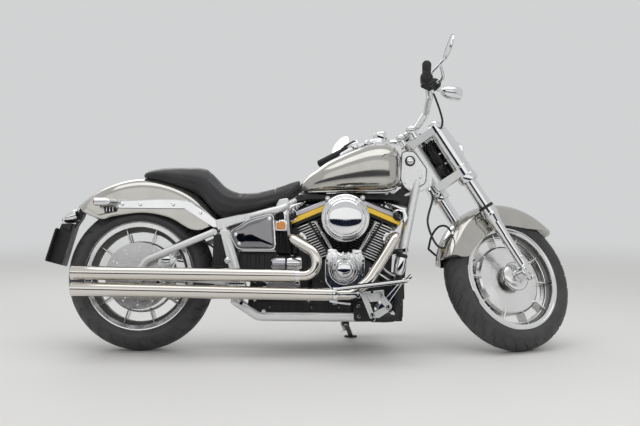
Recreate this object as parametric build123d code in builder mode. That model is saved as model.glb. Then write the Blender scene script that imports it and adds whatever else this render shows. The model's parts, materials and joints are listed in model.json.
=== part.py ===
"""Air-cooled V-twin cruiser motorcycle, parked on its side stand.

The machine is drawn upright and straight ahead: X runs forward from the rear axle, Y to the rider's left and
Z up from the ground.  At the end every piece is set into its parked pose: the steering turned onto its left
stop and the whole machine leaning on its side stand, with the origin below the middle of its bounding box.
All sizes are in millimetres and degrees.
"""

import os
from math import cos, radians, sin, sqrt

from build123d import *

# ---- driving dimensions ---------------------------------------------------------------------------------
wheelbase = 1637.0
rake = 32.0                      # steering head, from the vertical
trail = 147.0
steer_stop = 31.0                # steering lock to each side
lean = 8.8                       # on the side stand, to the left
axle_clearance = 0.08            # shafts in wheel bores and bearings
seat_gap = 0.3                   # between faces of neighbouring pieces

# ---- wheels, tyres and brakes --------------------------------------------------------------------------
rear_tyre_radius = 324.0
rear_tyre_width = 200.0
rear_rim_width = 152.0
front_tyre_radius = rear_tyre_radius - 3
front_tyre_width = 140.0
front_rim_width = 96.0
tyre_height = 84.0
rim_radius = rear_tyre_radius - tyre_height   # over the flanges
flange_height = 16.0
flange_thickness = 7.0
rim_skin = 8.0
tyre_wall = 14.0
crown_half_angle = 65.0
window_inner_radius = 158.0
window_outer_radius = rim_radius - 36
window_count = 10
window_rib = 10.0
dish_radius = 150.0
web_thickness = 22.0
hub_radius = 46.0
rear_hub_right = 90.0            # hub faces from the wheel's middle
rear_hub_left = 104.0
front_hub_half = 66.0
rear_axle_radius = 12.5
rear_axle_bore = 8.0
front_axle_radius = 12.5
front_axle_bore = 8.0
disc_radius = 146.0
disc_thickness = 5.0
disc_hole_radius = 4.0
disc_hole_rows = (127.0, 110.0)
disc_hole_count = 12
belt_pitch_radius = 96.0
belt_width = 24.0
belt_thickness = 6.0
front_pulley_radius = 44.0
front_pulley_centre = (590.0, 290.0)

# ---- steering -------------------------------------------------------------------------------------------
leg_half_span = 115.0
leg_lead = 28.0                  # the legs stand ahead of the axle
slider_radius = 23.0
slider_top = 322.0               # heights up the fork, from the axle
slider_shoulder = 34.0
tube_radius = 30.0
clamp_height = 34.0
lower_clamp = 500.0
upper_clamp = 722.0
stem_radius = 14.0
head_tube_radius = 33.0
cover_radius = 38.0
bar_radius = 14.0
grip_radius = 18.0

# ---- frame ----------------------------------------------------------------------------------------------
rail_radius = 16.5
down_tube_radius = 18.5
backbone_radius = 30.0
rail_half_span = 140.0
cradle_half_span = 150.0
cradle_height = 150.0
engine_mount_stations = (600.0, 850.0)
mount_radius = 14.0
regulator_x = 1122.0
swingarm_half_span = 146.0
swingarm_radius = 15.0
swingarm_pivot = (430.0, 297.0)

# ---- engine ---------------------------------------------------------------------------------------------
crank_centre = (900.0, 245.0)
vee_half_angle = 22.5
deck_distance = 180.0            # along each cylinder, from the crank
head_distance = 362.0
band_thickness = 18.0
cover_thickness = 38.0
band_length = 200.0
band_width = 190.0
barrel_radius = 58.0
fin_count = 14
fin_thickness = 4.0
fin_length = 164.0               # of the top fin; each one below is shorter
fin_shortening = 2.0
fin_width = 172.0
crankcase_half_width = 105.0
gearbox_half_width = 100.0
primary_inner = rear_hub_left + belt_width + 2.3
air_cleaner_centre = (900.0, 570.0)
air_cleaner_radius = 103.0
air_cleaner_depth = 62.0
air_cleaner_back = -198.0
pipe_radius = 22.0
port_distance = 325.0            # exhaust ports, along each cylinder from the crank
port_offset = 55.0               # out from the cylinder's axis
port_reach = 96.0
intake_z = 560.0                 # the manifold between the two heads
intake_half_gap = 33.0
intake_radius = 22.0
muffler_front_radius = 27.0
muffler_rear_radius = 29.5
muffler_wall = 4.0
muffler_bore_depth = 250.0
muffler_y = -240.0

# ---- places worked out from the wheels, the rake and the trail ------------------------------------------
rake_r = radians(rake)
fork_offset = front_tyre_radius * sin(rake_r) - trail * cos(rake_r)
steer_up = Vector(-sin(rake_r), 0, cos(rake_r))
steer_ahead = Vector(cos(rake_r), 0, sin(rake_r))
front_axle_at = Vector(wheelbase, 0, front_tyre_radius)
rear_axle_at = Vector(0, 0, rear_tyre_radius)
steer_point = front_axle_at - steer_ahead * fork_offset


# ---- parked pose ----------------------------------------------------------------------------------------
def turn_about(point, x_dir, z_dir, angle):
    """A turn about an axis that doesn't pass through the origin."""
    place = Plane(origin=point, x_dir=x_dir, z_dir=z_dir).location
    return place * Rot(Z=angle) * place.inverse()


def tyre_bottom(placing, centre, radius, width):
    """The lowest point of a tyre whose round crown leans over the ground."""
    middle = (placing * Pos(centre)).position
    left = (placing * Pos(centre + Vector(0, 1, 0))).position
    slope = left.Z - middle.Z
    crown = width / 2
    return middle.Z - (radius - crown) * sqrt(1 - slope ** 2) - crown


steer_turn = turn_about(steer_point, steer_ahead, steer_up, steer_stop)
pitch_low, pitch_high = -3.0, 3.0
for step in range(40):
    pitch = (pitch_low + pitch_high) / 2
    leaned = Rot(Y=pitch) * Rot(X=-lean)
    rear_bottom = tyre_bottom(leaned, rear_axle_at, rear_tyre_radius, rear_tyre_width)
    front_bottom = tyre_bottom(leaned * steer_turn, front_axle_at, front_tyre_radius, front_tyre_width)
    if front_bottom > rear_bottom:
        pitch_low = pitch
    else:
        pitch_high = pitch
parked = Pos(0, 0, -rear_bottom) * leaned
parked_steered = parked * steer_turn
ground = Plane(parked.inverse())             # the floor, as the upright machine sees it


# ---- shared shapes --------------------------------------------------------------------------------------
def bent_tube(points, radius, bend=60.0, wall=0.0):
    """A round tube along straight runs joined by arcs; a wall makes it hollow."""
    with BuildPart() as piece:
        with BuildLine() as run:
            if len(points) > 2:
                FilletPolyline(*points, radius=bend)
            else:
                Line(*points)
        with BuildSketch(Plane(origin=run.line @ 0, z_dir=run.line % 0)):
            Circle(radius)
            if wall:
                Circle(radius - wall, mode=Mode.SUBTRACT)
        sweep(path=run.line)
    return piece.part


def side_plate(points, low_y, high_y, corner=0.0):
    """A side-view polygon of (x, z) points, filling the space between two distances across the machine."""
    with BuildPart() as piece:
        with BuildSketch(Plane.XZ.offset(-high_y)) as outline:
            with BuildLine():
                Polyline(*points, close=True)
            make_face()
            if corner:
                fillet(outline.vertices(), corner)
        extrude(amount=high_y - low_y)
    return piece.part


def turned(profile, plane):
    """A closed profile of (radius, height) points, turned about the plane's Z axis."""
    with BuildPart() as piece:
        with BuildSketch(Plane(origin=plane.origin, x_dir=plane.x_dir, z_dir=-plane.y_dir)):
            with BuildLine():
                Polyline(*profile, close=True)
            make_face()
        revolve(axis=Axis(plane.origin, plane.z_dir))
    return piece.part


def across(x, y, z):
    """A plane whose Z axis runs across the machine, to its right."""
    return Plane(origin=(x, y, z), x_dir=(1, 0, 0), z_dir=(0, -1, 0))


def fork_plane(height=0.0, side=0.0, ahead=0.0):
    """A plane square to the fork legs; its X axis points ahead of them and its Z axis up them."""
    origin = front_axle_at + steer_up * height + steer_ahead * ahead + Vector(0, side, 0)
    return Plane(origin=origin, x_dir=steer_ahead, z_dir=steer_up)


def wheel_plane(centre):
    """The plane whose Z axis is the wheel's axle, to the left."""
    return Plane(origin=centre, x_dir=(1, 0, 0), z_dir=(0, 1, 0))


# ---- tyres ----------------------------------------------------------------------------------------------
def tyre_ring(centre, radius, width, rim_width):
    """A tyre with a round crown and two beads that sit inside the rim's flanges."""
    crown = width / 2
    ring = radius - crown
    edge_y = crown * sin(radians(crown_half_angle))
    edge_z = ring + crown * cos(radians(crown_half_angle))
    lip_z = rim_radius + 4 * seat_gap
    bead_z = rim_radius - flange_height + seat_gap
    bead_y = rim_width / 2 - flange_thickness - seat_gap
    inner = crown - tyre_wall
    inner_y = inner * sin(radians(crown_half_angle))
    inner_z = ring + inner * cos(radians(crown_half_angle))
    wall_y = edge_y * 1.02
    wall_z = (edge_z + lip_z) / 2
    with BuildPart() as piece:
        with BuildSketch(Plane(origin=centre, x_dir=(0, 1, 0), z_dir=(1, 0, 0))):
            with BuildLine():
                ThreePointArc((edge_y, edge_z), (0, radius), (-edge_y, edge_z))
                ThreePointArc((-edge_y, edge_z), (-wall_y, wall_z), (-rim_width / 2, lip_z))
                Polyline((-rim_width / 2, lip_z), (-bead_y, lip_z), (-bead_y, bead_z),
                         (-bead_y + tyre_wall, bead_z), (-inner_y, inner_z))
                ThreePointArc((-inner_y, inner_z), (0, radius - tyre_wall), (inner_y, inner_z))
                Polyline((inner_y, inner_z), (bead_y - tyre_wall, bead_z), (bead_y, bead_z),
                         (bead_y, lip_z), (rim_width / 2, lip_z))
                ThreePointArc((rim_width / 2, lip_z), (wall_y, wall_z), (edge_y, edge_z))
            make_face()
        revolve(axis=Axis(centre, (0, 1, 0)))
    return piece.part


with BuildPart() as rear_tyre:
    add(tyre_ring(rear_axle_at, rear_tyre_radius, rear_tyre_width, rear_rim_width))

with BuildPart() as front_tyre:
    add(tyre_ring(front_axle_at, front_tyre_radius, front_tyre_width, front_rim_width))


# ---- rims: cast discs with a ring of windows ------------------------------------------------------------
def cast_wheel(centre, rim_width, hub_right, hub_left, bore):
    """A rim barrel, a dished disc with windows near the rim, and a hub bored for the axle."""
    half = rim_width / 2
    seat = rim_radius - flange_height
    well = seat - flange_height
    barrel = (
        (rim_radius, -half), (rim_radius, -half + flange_thickness), (seat, -half + flange_thickness),
        (seat, -half / 2), (well, -half / 3), (well, half / 3), (seat, half / 2),
        (seat, half - flange_thickness), (rim_radius, half - flange_thickness), (rim_radius, half),
        (seat - rim_skin, half), (seat - rim_skin, half / 2), (well - rim_skin, half / 3),
        (well - rim_skin, -half / 3), (seat - rim_skin, -half / 2), (seat - rim_skin, -half))
    face = half * 0.55
    web = (
        (well - rim_skin / 2, -web_thickness / 2), (well - rim_skin / 2, web_thickness / 2),
        (window_inner_radius, web_thickness / 2), (dish_radius, face * 0.7), (dish_radius - 40, face),
        (hub_radius, face + 8), (hub_radius, -face - 8), (dish_radius - 40, -face),
        (dish_radius, -face * 0.7), (window_inner_radius, -web_thickness / 2))
    with BuildPart() as piece:
        add(turned(barrel, wheel_plane(centre)))
        add(turned(web, wheel_plane(centre)))
        with BuildSketch(wheel_plane(centre).offset(-hub_right)):
            Circle(hub_radius)
        extrude(amount=hub_right + hub_left)
        with BuildSketch(wheel_plane(centre).offset(-web_thickness)) as windows:
            Circle(window_outer_radius - rim_skin)
            Circle(window_inner_radius, mode=Mode.SUBTRACT)
            with PolarLocations(window_outer_radius / 2, window_count):
                Rectangle(window_outer_radius, window_rib, mode=Mode.SUBTRACT)
        extrude(amount=2 * web_thickness, mode=Mode.SUBTRACT)
        with BuildSketch(wheel_plane(centre).offset(-hub_right)):
            Circle(bore)
        extrude(amount=hub_right + hub_left, mode=Mode.SUBTRACT)
    return piece.part


with BuildPart() as rear_rim:
    add(cast_wheel(rear_axle_at, rear_rim_width, rear_hub_right, rear_hub_left,
                   rear_axle_radius + axle_clearance))

with BuildPart() as front_rim:
    add(cast_wheel(front_axle_at, front_rim_width, front_hub_half, front_hub_half,
                   front_axle_radius + axle_clearance))


# ---- brake discs, belt and pulleys ----------------------------------------------------------------------
def brake_disc(centre, y, bore):
    """A drilled disc on a dished carrier, bolted to the hub's end; y is its inner face."""
    with BuildPart() as piece:
        with BuildSketch(wheel_plane(centre).offset(y)):
            Circle(disc_radius)
            Circle(bore, mode=Mode.SUBTRACT)
            for row in disc_hole_rows:
                with PolarLocations(row, disc_hole_count):
                    Circle(disc_hole_radius, mode=Mode.SUBTRACT)
        extrude(amount=disc_thickness)
    return piece.part


with BuildPart() as rear_disc:
    add(brake_disc(rear_axle_at, -rear_hub_right - disc_thickness, rear_axle_radius + axle_clearance))

with BuildPart() as front_disc:
    add(brake_disc(front_axle_at, front_hub_half, front_axle_radius + axle_clearance))

with BuildPart() as rear_pulley:
    with BuildSketch(wheel_plane(rear_axle_at).offset(rear_hub_left)):
        Circle(belt_pitch_radius)
        Circle(rear_axle_radius + axle_clearance, mode=Mode.SUBTRACT)
        with PolarLocations(belt_pitch_radius * 0.64, 5):
            Circle(16, mode=Mode.SUBTRACT)
    extrude(amount=belt_width)

with BuildPart() as drive_belt:
    with BuildSketch(Plane.XZ.offset(-rear_hub_left - belt_width)) as loop:
        with BuildSketch(mode=Mode.PRIVATE) as outer:
            with Locations((0, rear_axle_at.Z)):
                Circle(belt_pitch_radius + seat_gap + belt_thickness)
            with Locations(front_pulley_centre):
                Circle(front_pulley_radius + seat_gap + belt_thickness)
            make_hull()
        with BuildSketch(mode=Mode.PRIVATE) as inner:
            with Locations((0, rear_axle_at.Z)):
                Circle(belt_pitch_radius + seat_gap)
            with Locations(front_pulley_centre):
                Circle(front_pulley_radius + seat_gap)
            make_hull()
        add(outer.sketch)
        add(inner.sketch, mode=Mode.SUBTRACT)
    extrude(amount=belt_width)


# ---- axles ----------------------------------------------------------------------------------------------
def axle(centre, half_length, radius, bore):
    """A hollow axle with a nut at each end; half_length reaches the nuts' inner faces."""
    nut = 16.0
    with BuildPart() as piece:
        with BuildSketch(wheel_plane(centre).offset(-half_length - nut)):
            Circle(radius)
        extrude(amount=2 * (half_length + nut))
        for side in (-half_length - nut, half_length):
            with BuildSketch(wheel_plane(centre).offset(side)):
                RegularPolygon(radius * 1.6, 6)
            extrude(amount=nut)
        with BuildSketch(wheel_plane(centre).offset(-half_length - nut)):
            Circle(bore)
        extrude(amount=2 * (half_length + nut), mode=Mode.SUBTRACT)
    return piece.part


swingarm_outer = swingarm_half_span + swingarm_radius
with BuildPart() as rear_axle:
    add(axle(rear_axle_at, swingarm_outer + seat_gap, rear_axle_radius, rear_axle_bore))

with BuildPart() as front_axle:
    add(axle(front_axle_at, leg_half_span + slider_radius + 6 + seat_gap, front_axle_radius, front_axle_bore))

# ---- side stand, whose pin and lug belong to the frame --------------------------------------------------
stand_pivot = Vector(913, 184, 129)
stand_foot = Vector(942, 352, 61)
stand_foot_thickness = 8.0
stand_leg_radius = 11.0
stand_eye_radius = 17.0
stand_eye_half = 11.5
stand_pin_radius = 8.0
stand_lug_reach = -36.0
stand_axis = (stand_foot - stand_pivot).cross(Vector(-1, 0, 0)).normalized()
stand_plane = Plane(origin=stand_pivot, x_dir=(1, 0, 0), z_dir=stand_axis)
foot_on_floor = (parked * Pos(stand_foot)).position
stand_leg_end = (parked.inverse() * Pos(foot_on_floor.X, foot_on_floor.Y, stand_foot_thickness)).position
with BuildPart() as side_stand:
    add(bent_tube([tuple(stand_pivot), tuple(stand_leg_end)], stand_leg_radius))
    with BuildSketch(stand_plane.offset(-stand_eye_half)):
        Circle(stand_eye_radius)
    extrude(amount=2 * stand_eye_half)
    with BuildSketch(stand_plane.offset(-stand_eye_half)):
        Circle(stand_pin_radius + axle_clearance)
    extrude(amount=2 * stand_eye_half, mode=Mode.SUBTRACT)
    with BuildSketch(ground):
        with Locations((foot_on_floor.X, foot_on_floor.Y)):
            Ellipse(30, 20)
    extrude(amount=stand_foot_thickness)

# ---- frame ----------------------------------------------------------------------------------------------
head_low = lower_clamp + clamp_height + seat_gap
head_high = upper_clamp - seat_gap
head_axis = -fork_offset                       # ahead of the axle, in the fork's own planes
neck_points = ((1157, 886), (1180, 890), (1209, 888), (1292, 782), (1288, 735), (1195, 700), (1168, 770))
with BuildPart() as frame:
    for side in (-1, 1):
        add(bent_tube([(1226, side * 30, 760), (1157, side * 92, 437),
                       (1120, side * cradle_half_span * 0.8, cradle_height),
                       (940, side * cradle_half_span, cradle_height),
                       (528, side * cradle_half_span, cradle_height),
                       (427, side * cradle_half_span, 215)], down_tube_radius, bend=40))
        add(bent_tube([(427, side * cradle_half_span, 205), (428, side * cradle_half_span, 360),
                       (368, side * rail_half_span, 545)], rail_radius, bend=80))
        add(bent_tube([(352, side * rail_half_span, 548), (620, side * rail_half_span * 0.9, 618),
                       (712, side * 18, 684)], rail_radius, bend=70))
    add(bent_tube([(702, 0, 709), (1215, 0, 775)], backbone_radius))
    add(side_plate(neck_points, -42, 42))
    with BuildSketch(fork_plane(head_low, 0, head_axis)):
        Circle(head_tube_radius)
    extrude(amount=head_high - head_low)
    add(bent_tube([(swingarm_pivot[0], -cradle_half_span, swingarm_pivot[1]),
                   (swingarm_pivot[0], cradle_half_span, swingarm_pivot[1])], 20))
    for x in engine_mount_stations:
        add(bent_tube([(x, -cradle_half_span, cradle_height), (x, cradle_half_span, cradle_height)],
                      mount_radius))
    add(bent_tube([(regulator_x, -118, 200), (regulator_x, 118, 200)], 10))
    with BuildSketch(stand_plane.offset(stand_eye_half + seat_gap)):
        Circle(stand_eye_radius)
        with Locations((0, stand_lug_reach)):
            Circle(stand_eye_radius)
        make_hull()
    extrude(amount=8)
    with BuildSketch(stand_plane.offset(-stand_eye_half)):
        Circle(stand_pin_radius)
    extrude(amount=2 * stand_eye_half + 2)
    with BuildSketch(fork_plane(head_low, 0, head_axis)):
        Circle(stem_radius + axle_clearance)
    extrude(amount=head_high - head_low, mode=Mode.SUBTRACT)

# ---- swingarm -------------------------------------------------------------------------------------------
with BuildPart() as swingarm:
    for side in (-1, 1):
        y = side * swingarm_half_span
        add(bent_tube([(0, y, rear_tyre_radius), (40, y, 390), (330, y, 512)], swingarm_radius, bend=40))
        add(bent_tube([(0, y, rear_tyre_radius), (swingarm_pivot[0] - 45, y, swingarm_pivot[1] + 3)],
                      swingarm_radius))
        with BuildSketch(wheel_plane(Vector(0, y - swingarm_radius, rear_tyre_radius))):
            Circle(2.2 * swingarm_radius)
        extrude(amount=2 * swingarm_radius)
    add(bent_tube([(330, -swingarm_half_span, 512), (330, swingarm_half_span, 512)], swingarm_radius))
    add(bent_tube([(swingarm_pivot[0] - 45, -swingarm_half_span, swingarm_pivot[1] + 3),
                   (swingarm_pivot[0] - 45, swingarm_half_span, swingarm_pivot[1] + 3)], 24))
    with BuildSketch(wheel_plane(Vector(0, -swingarm_outer - 1, rear_tyre_radius))):
        Circle(rear_axle_radius + axle_clearance)
    extrude(amount=2 * swingarm_outer + 2, mode=Mode.SUBTRACT)


# ---- fenders --------------------------------------------------------------------------------------------
def fender_shell(centre, crown_radius, half_width, crown_height, skirt_radius, wall, keep):
    """A shell turned about the wheel's side of the centre and cut to a side-view outline."""
    shoulder = crown_radius - crown_height
    with BuildPart() as piece:
        with BuildSketch(Plane(origin=centre, x_dir=(0, 1, 0), z_dir=(1, 0, 0))):
            with BuildLine():
                EllipticalCenterArc((0, shoulder), half_width, crown_height, start_angle=0, arc_size=180)
                Polyline((-half_width, shoulder), (-half_width, skirt_radius),
                         (-half_width + wall, skirt_radius), (-half_width + wall, shoulder))
                EllipticalCenterArc((0, shoulder), half_width - wall, crown_height - wall,
                                    start_angle=0, arc_size=180)
                Polyline((half_width - wall, shoulder), (half_width - wall, skirt_radius),
                         (half_width, skirt_radius), (half_width, shoulder))
            make_face()
        revolve(axis=Axis(centre, (0, 1, 0)))
        with BuildSketch(Plane.XZ.offset(-half_width - 1)):
            with BuildLine():
                Polyline(*keep, close=True)
            make_face()
        extrude(amount=2 * half_width + 2, mode=Mode.INTERSECT)
    return piece.part


rear_fender_centre = rear_axle_at + Vector(16, 0, 28)
rear_fender_radius = 412.0
rear_fender_half = 124.0
rear_fender_crown = 56.0
fender_wall = 4.0
rear_fender_keep = ((-400, 800), (-400, 700), (-285, 628), (-167, 569), (2, 597), (150, 580), (228, 527),
                    (305, 532), (390, 600), (300, 800))
with BuildPart() as rear_fender:
    add(fender_shell(rear_fender_centre, rear_fender_radius, rear_fender_half, rear_fender_crown, 190,
                     fender_wall, rear_fender_keep))

front_fender_keep = [front_axle_at + Vector(x, 0, z) for x, z in (
    (232, 262), (150, 236), (-39, 236), (-166, 150), (-204, 110), (-253, 60), (-350, 60), (-430, 0),
    (-430, 430), (300, 430))]
with BuildPart() as front_fender:
    add(fender_shell(front_axle_at, 356, 80, 44, 236, fender_wall, [(p.X, p.Z) for p in front_fender_keep]))

# ---- seat, with the fender's crown cut out of its underside ---------------------------------------------
seat_half_width = 165.0
pillion_half_width = 118.0
with BuildPart() as seat:
    with BuildSketch(Plane.XZ.offset(-seat_half_width)):
        with BuildLine():
            Spline((3, 777), (60, 801), (113, 809), (257, 809), (300, 785), (370, 715), (444, 690),
                   (560, 707), (650, 738), (704, 764))
            Polyline((704, 764), (699, 748), (690, 738), (676, 706), (634, 641), (620, 637), (365, 569),
                     (330, 577), (230, 690), (44, 745), (3, 777))
        make_face()
    extrude(amount=2 * seat_half_width)
    with BuildSketch(Plane.XY.offset(500)):
        with BuildLine():
            Polyline((-5, -70), (30, -pillion_half_width), (250, -pillion_half_width),
                     (360, -seat_half_width),
                     (480, -seat_half_width), (640, -75), (710, -42), (710, 42), (640, 75),
                     (480, seat_half_width), (360, seat_half_width), (250, pillion_half_width),
                     (30, pillion_half_width), (-5, 70), close=True)
        make_face()
    extrude(amount=400, mode=Mode.INTERSECT)
    shoulder = rear_fender_radius - rear_fender_crown
    reach = rear_fender_half + seat_gap
    with BuildSketch(Plane(origin=rear_fender_centre, x_dir=(0, 1, 0), z_dir=(1, 0, 0))):
        with BuildLine():
            EllipticalCenterArc((0, shoulder), reach, rear_fender_crown + seat_gap,
                                start_angle=0, arc_size=180)
            Polyline((-reach, shoulder), (-reach, 10), (reach, 10), (reach, shoulder))
        make_face()
    revolve(axis=Axis(rear_fender_centre, (0, 1, 0)), mode=Mode.SUBTRACT)

# ---- fuel tank ------------------------------------------------------------------------------------------
# station x, low z, belt z, top z, half width
tank_stations = (
    (696, 700, 712, 732, 30), (770, 699, 724, 806, 92), (880, 698, 738, 872, 138), (1000, 698, 750, 922, 162),
    (1095, 702, 765, 930, 150), (1150, 752, 800, 880, 84))
tunnel_half_width = 36.0
tunnel_top = 797.2               # just over the backbone at the tank's nose


def tank_body(grow=0.0):
    """The tank's outer form, or a slightly larger one for what sits on it."""
    with BuildPart() as piece:
        for x, low, belt, top, half in tank_stations:
            with BuildSketch(Plane(origin=(x, 0, 0), x_dir=(0, 1, 0), z_dir=(1, 0, 0))):
                with BuildLine():
                    EllipticalCenterArc((0, belt), half + grow, top - belt + grow,
                                        start_angle=0, arc_size=180)
                    EllipticalCenterArc((0, belt), half + grow, belt - low + grow,
                                        start_angle=180, arc_size=180)
                make_face()
        loft()
    return piece.part


with BuildPart() as fuel_tank:
    add(tank_body())
    with BuildSketch(Plane.YZ.offset(690)):
        with Locations((0, tunnel_top)):
            Rectangle(2 * tunnel_half_width, 130, align=(Align.CENTER, Align.MAX))
    extrude(amount=480, mode=Mode.SUBTRACT)

with BuildPart() as tank_console:
    add(turned(((0, -20), (50, -20), (52, 4), (46, 16), (28, 22), (0, 24)),
               Plane(origin=(1040, 0, 932), x_dir=(1, 0, 0), z_dir=(-0.1, 0, 1))))
    add(tank_body(seat_gap), mode=Mode.SUBTRACT)

# ---- engine ---------------------------------------------------------------------------------------------
crank_x, crank_z = crank_centre


def bank_plane(sign, distance):
    """A plane square to one cylinder's axis, at a distance from the crank; sign +1 is the front cylinder."""
    angle = radians(vee_half_angle)
    axis = Vector(sign * sin(angle), 0, cos(angle))
    return Plane(origin=Vector(crank_x, 0, crank_z) + axis * distance, x_dir=(0, 1, 0), z_dir=axis)


mount_top = cradle_height + mount_radius + seat_gap
crankcase_outline = ((775, mount_top), (930, mount_top), (1012, 178), (1060, 230), (1050, 330),
                     (1022, 379), (900, 434), (778, 379), (760, 250))
with BuildPart() as crankcase:
    add(side_plate(crankcase_outline, -crankcase_half_width, primary_inner - seat_gap, 18))
    for sign in (-1, 1):
        with BuildSketch(bank_plane(sign, deck_distance)):
            RectangleRounded(150, 130, 20)
        extrude(amount=-deck_distance * 0.7)

with BuildPart() as gearbox:
    add(side_plate(((480, 200), (500, mount_top), (760 - seat_gap, mount_top), (760 - seat_gap, 330),
                    (720, 415), (500, 415)), -gearbox_half_width, gearbox_half_width, 20))
    add(bent_tube([(585, -127, 378), (712, -127, 378)], 30))
    with BuildSketch(Plane.XZ.offset(-rear_hub_left - belt_width)):
        with Locations(front_pulley_centre):
            Circle(front_pulley_radius)
    extrude(amount=rear_hub_left + belt_width - gearbox_half_width - seat_gap)

fin_pitch = (head_distance - deck_distance) / (fin_count + 1)
with BuildPart() as cylinders:
    for sign in (-1, 1):
        with BuildSketch(bank_plane(sign, deck_distance + seat_gap)):
            Circle(barrel_radius)
        extrude(amount=head_distance - deck_distance - 2 * seat_gap)
        port = bank_plane(sign, port_distance)
        port_place = port.origin - port.y_dir * sign * port_offset
        with BuildSketch(across(*port_place)):
            Circle(pipe_radius + 4)
        extrude(amount=port_reach)
        add(bent_tube([(port.origin.X, 0, intake_z), (crank_x + sign * intake_half_gap, 0, intake_z)],
                      intake_radius))
        for fin in range(1, fin_count + 1):
            length = fin_length - (fin_count - fin) * fin_shortening
            with BuildSketch(bank_plane(sign, deck_distance + fin * fin_pitch - fin_thickness / 2)):
                RectangleRounded(fin_width, length, 28)
            extrude(amount=fin_thickness)

with BuildPart() as rocker_bands:
    for sign in (-1, 1):
        with BuildSketch(bank_plane(sign, head_distance)):
            RectangleRounded(band_width, band_length, 24)
        extrude(amount=band_thickness)

with BuildPart() as rocker_covers:
    for sign in (-1, 1):
        with BuildSketch(bank_plane(sign, head_distance + band_thickness + seat_gap)):
            RectangleRounded(band_width - 10, band_length - 10, 24)
        extrude(amount=cover_thickness, taper=14)

with BuildPart() as cam_cover:
    add(side_plate(((815, 300), (850, 255), (960, 255), (985, 300),
                    (985, 405), (970, 425), (830, 425), (815, 405)),
                   -crankcase_half_width - 60, -crankcase_half_width - seat_gap, 12))
    add(turned(((0, 0), (62, 0), (62, 14), (52, 22), (30, 27), (0, 28)),
               across(896, -crankcase_half_width - 60, 353)))

with BuildPart() as pushrod_tubes:
    for top_x, foot_x in ((748, 846), (776, 872), (1052, 954), (1024, 928)):
        add(bent_tube([(foot_x, -134, 430), (top_x, -134, 560)], 8))

with BuildPart() as air_cleaner:
    add(turned(((0, 0), (air_cleaner_radius - 12, 0), (air_cleaner_radius, 10), (air_cleaner_radius, 30),
                (air_cleaner_radius - 14, 42), (air_cleaner_radius - 22, 42), (air_cleaner_radius - 28, 58),
                (40, air_cleaner_depth), (0, air_cleaner_depth)),
               across(air_cleaner_centre[0], air_cleaner_back, air_cleaner_centre[1])))
    add(bent_tube([(crank_x, air_cleaner_back + 1, intake_z + 14), (crank_x, 0, intake_z + 14)], 24))
    add(bent_tube([(crank_x - intake_half_gap + seat_gap, 0, intake_z),
                   (crank_x + intake_half_gap - seat_gap, 0, intake_z)], intake_radius))

# ---- exhausts: a header from each port, and a long open muffler behind it --------------------------------
upper_front = Vector(690, muffler_y, 320)
upper_rear = Vector(-258, muffler_y, 327)
lower_front = Vector(850, muffler_y, 242)
lower_rear = Vector(-256, muffler_y, 259)
rear_port_x = crank_x - 175
front_port_x = crank_x + 175
port_z = 524.0
port_face = -port_reach - seat_gap
upper_route = [(rear_port_x, port_face, port_z), (rear_port_x, -137, port_z), (672, -187, 500),
               (778, muffler_y, 415), (778, muffler_y, upper_front.Z),
               (upper_front.X + seat_gap, muffler_y, upper_front.Z)]
lower_route = [(front_port_x, port_face, port_z), (front_port_x, -137, port_z), (1125, -187, 488),
               (1000, muffler_y, 300), (930, muffler_y, lower_front.Z),
               (lower_front.X + seat_gap, muffler_y, lower_front.Z)]
upper_bends = (26, 30, 54, 58)
lower_bends = (26, 30, 80, 60)
with BuildPart() as exhaust_headers:
    add(bent_tube(upper_route, pipe_radius, bend=upper_bends))
    add(bent_tube(lower_route, pipe_radius, bend=lower_bends))


def muffler(front, rear):
    """A long open muffler that widens towards its outlet."""
    with BuildPart() as piece:
        for end, radius in ((front, muffler_front_radius), (rear, muffler_rear_radius)):
            with BuildSketch(Plane(origin=end, x_dir=(0, 1, 0), z_dir=(-1, 0, 0))):
                Circle(radius)
        loft()
        with BuildSketch(Plane(origin=rear, x_dir=(0, 1, 0), z_dir=(1, 0, 0))):
            Circle(muffler_rear_radius - muffler_wall)
        extrude(amount=muffler_bore_depth, mode=Mode.SUBTRACT)
    return piece.part


with BuildPart() as mufflers:
    add(muffler(upper_front, upper_rear))
    add(muffler(lower_front, lower_rear))

# ---- left-hand drive side -------------------------------------------------------------------------------
with BuildPart() as primary_cover:
    with BuildSketch(Plane.XZ.offset(-primary_inner - 85)):
        with Locations((crank_x, 275)):
            Circle(100)
        with Locations((640, 302)):
            Circle(122)
        make_hull()
    extrude(amount=85)

with BuildPart() as horn:
    add(turned(((0, 0), (50, 0), (56, 10), (50, 34), (20, 46), (0, 47)),
               Plane(origin=(crank_x, 118, intake_z), x_dir=(1, 0, 0), z_dir=(0, 1, 0))))
    add(bent_tube([(crank_x, intake_radius + seat_gap, intake_z), (crank_x, 119, intake_z)], 12))

# ---- oil tank, side covers ------------------------------------------------------------------------------
side_cover_outline = ((411, 516), (489, 566), (588, 592), (601, 437), (437, 437), (406, 500))
with BuildPart() as oil_tank:
    add(side_plate(side_cover_outline, -150, 150, 14))

with BuildPart() as side_covers:
    add(side_plate(side_cover_outline, -190, -150 - seat_gap, 14))
    add(side_plate(side_cover_outline, 150 + seat_gap, 190, 14))

# ---- foot controls --------------------------------------------------------------------------------------
with BuildPart() as floorboards:
    for low_y, high_y in ((-400, -290), (290, 400)):
        add(side_plate(((861, 254), (1143, 290), (1143, 306), (861, 270)), low_y, high_y))

bracket_z = cradle_height + down_tube_radius + 10 + seat_gap
with BuildPart() as floorboard_brackets:
    for side in (-1, 1):
        for x, board_z in ((1012, 273), (1080, 282)):
            add(bent_tube([(x, side * 330, board_z - 1.6), (x, side * 330, bracket_z),
                           (x, side * 130, bracket_z)], 10, bend=24))

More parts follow.
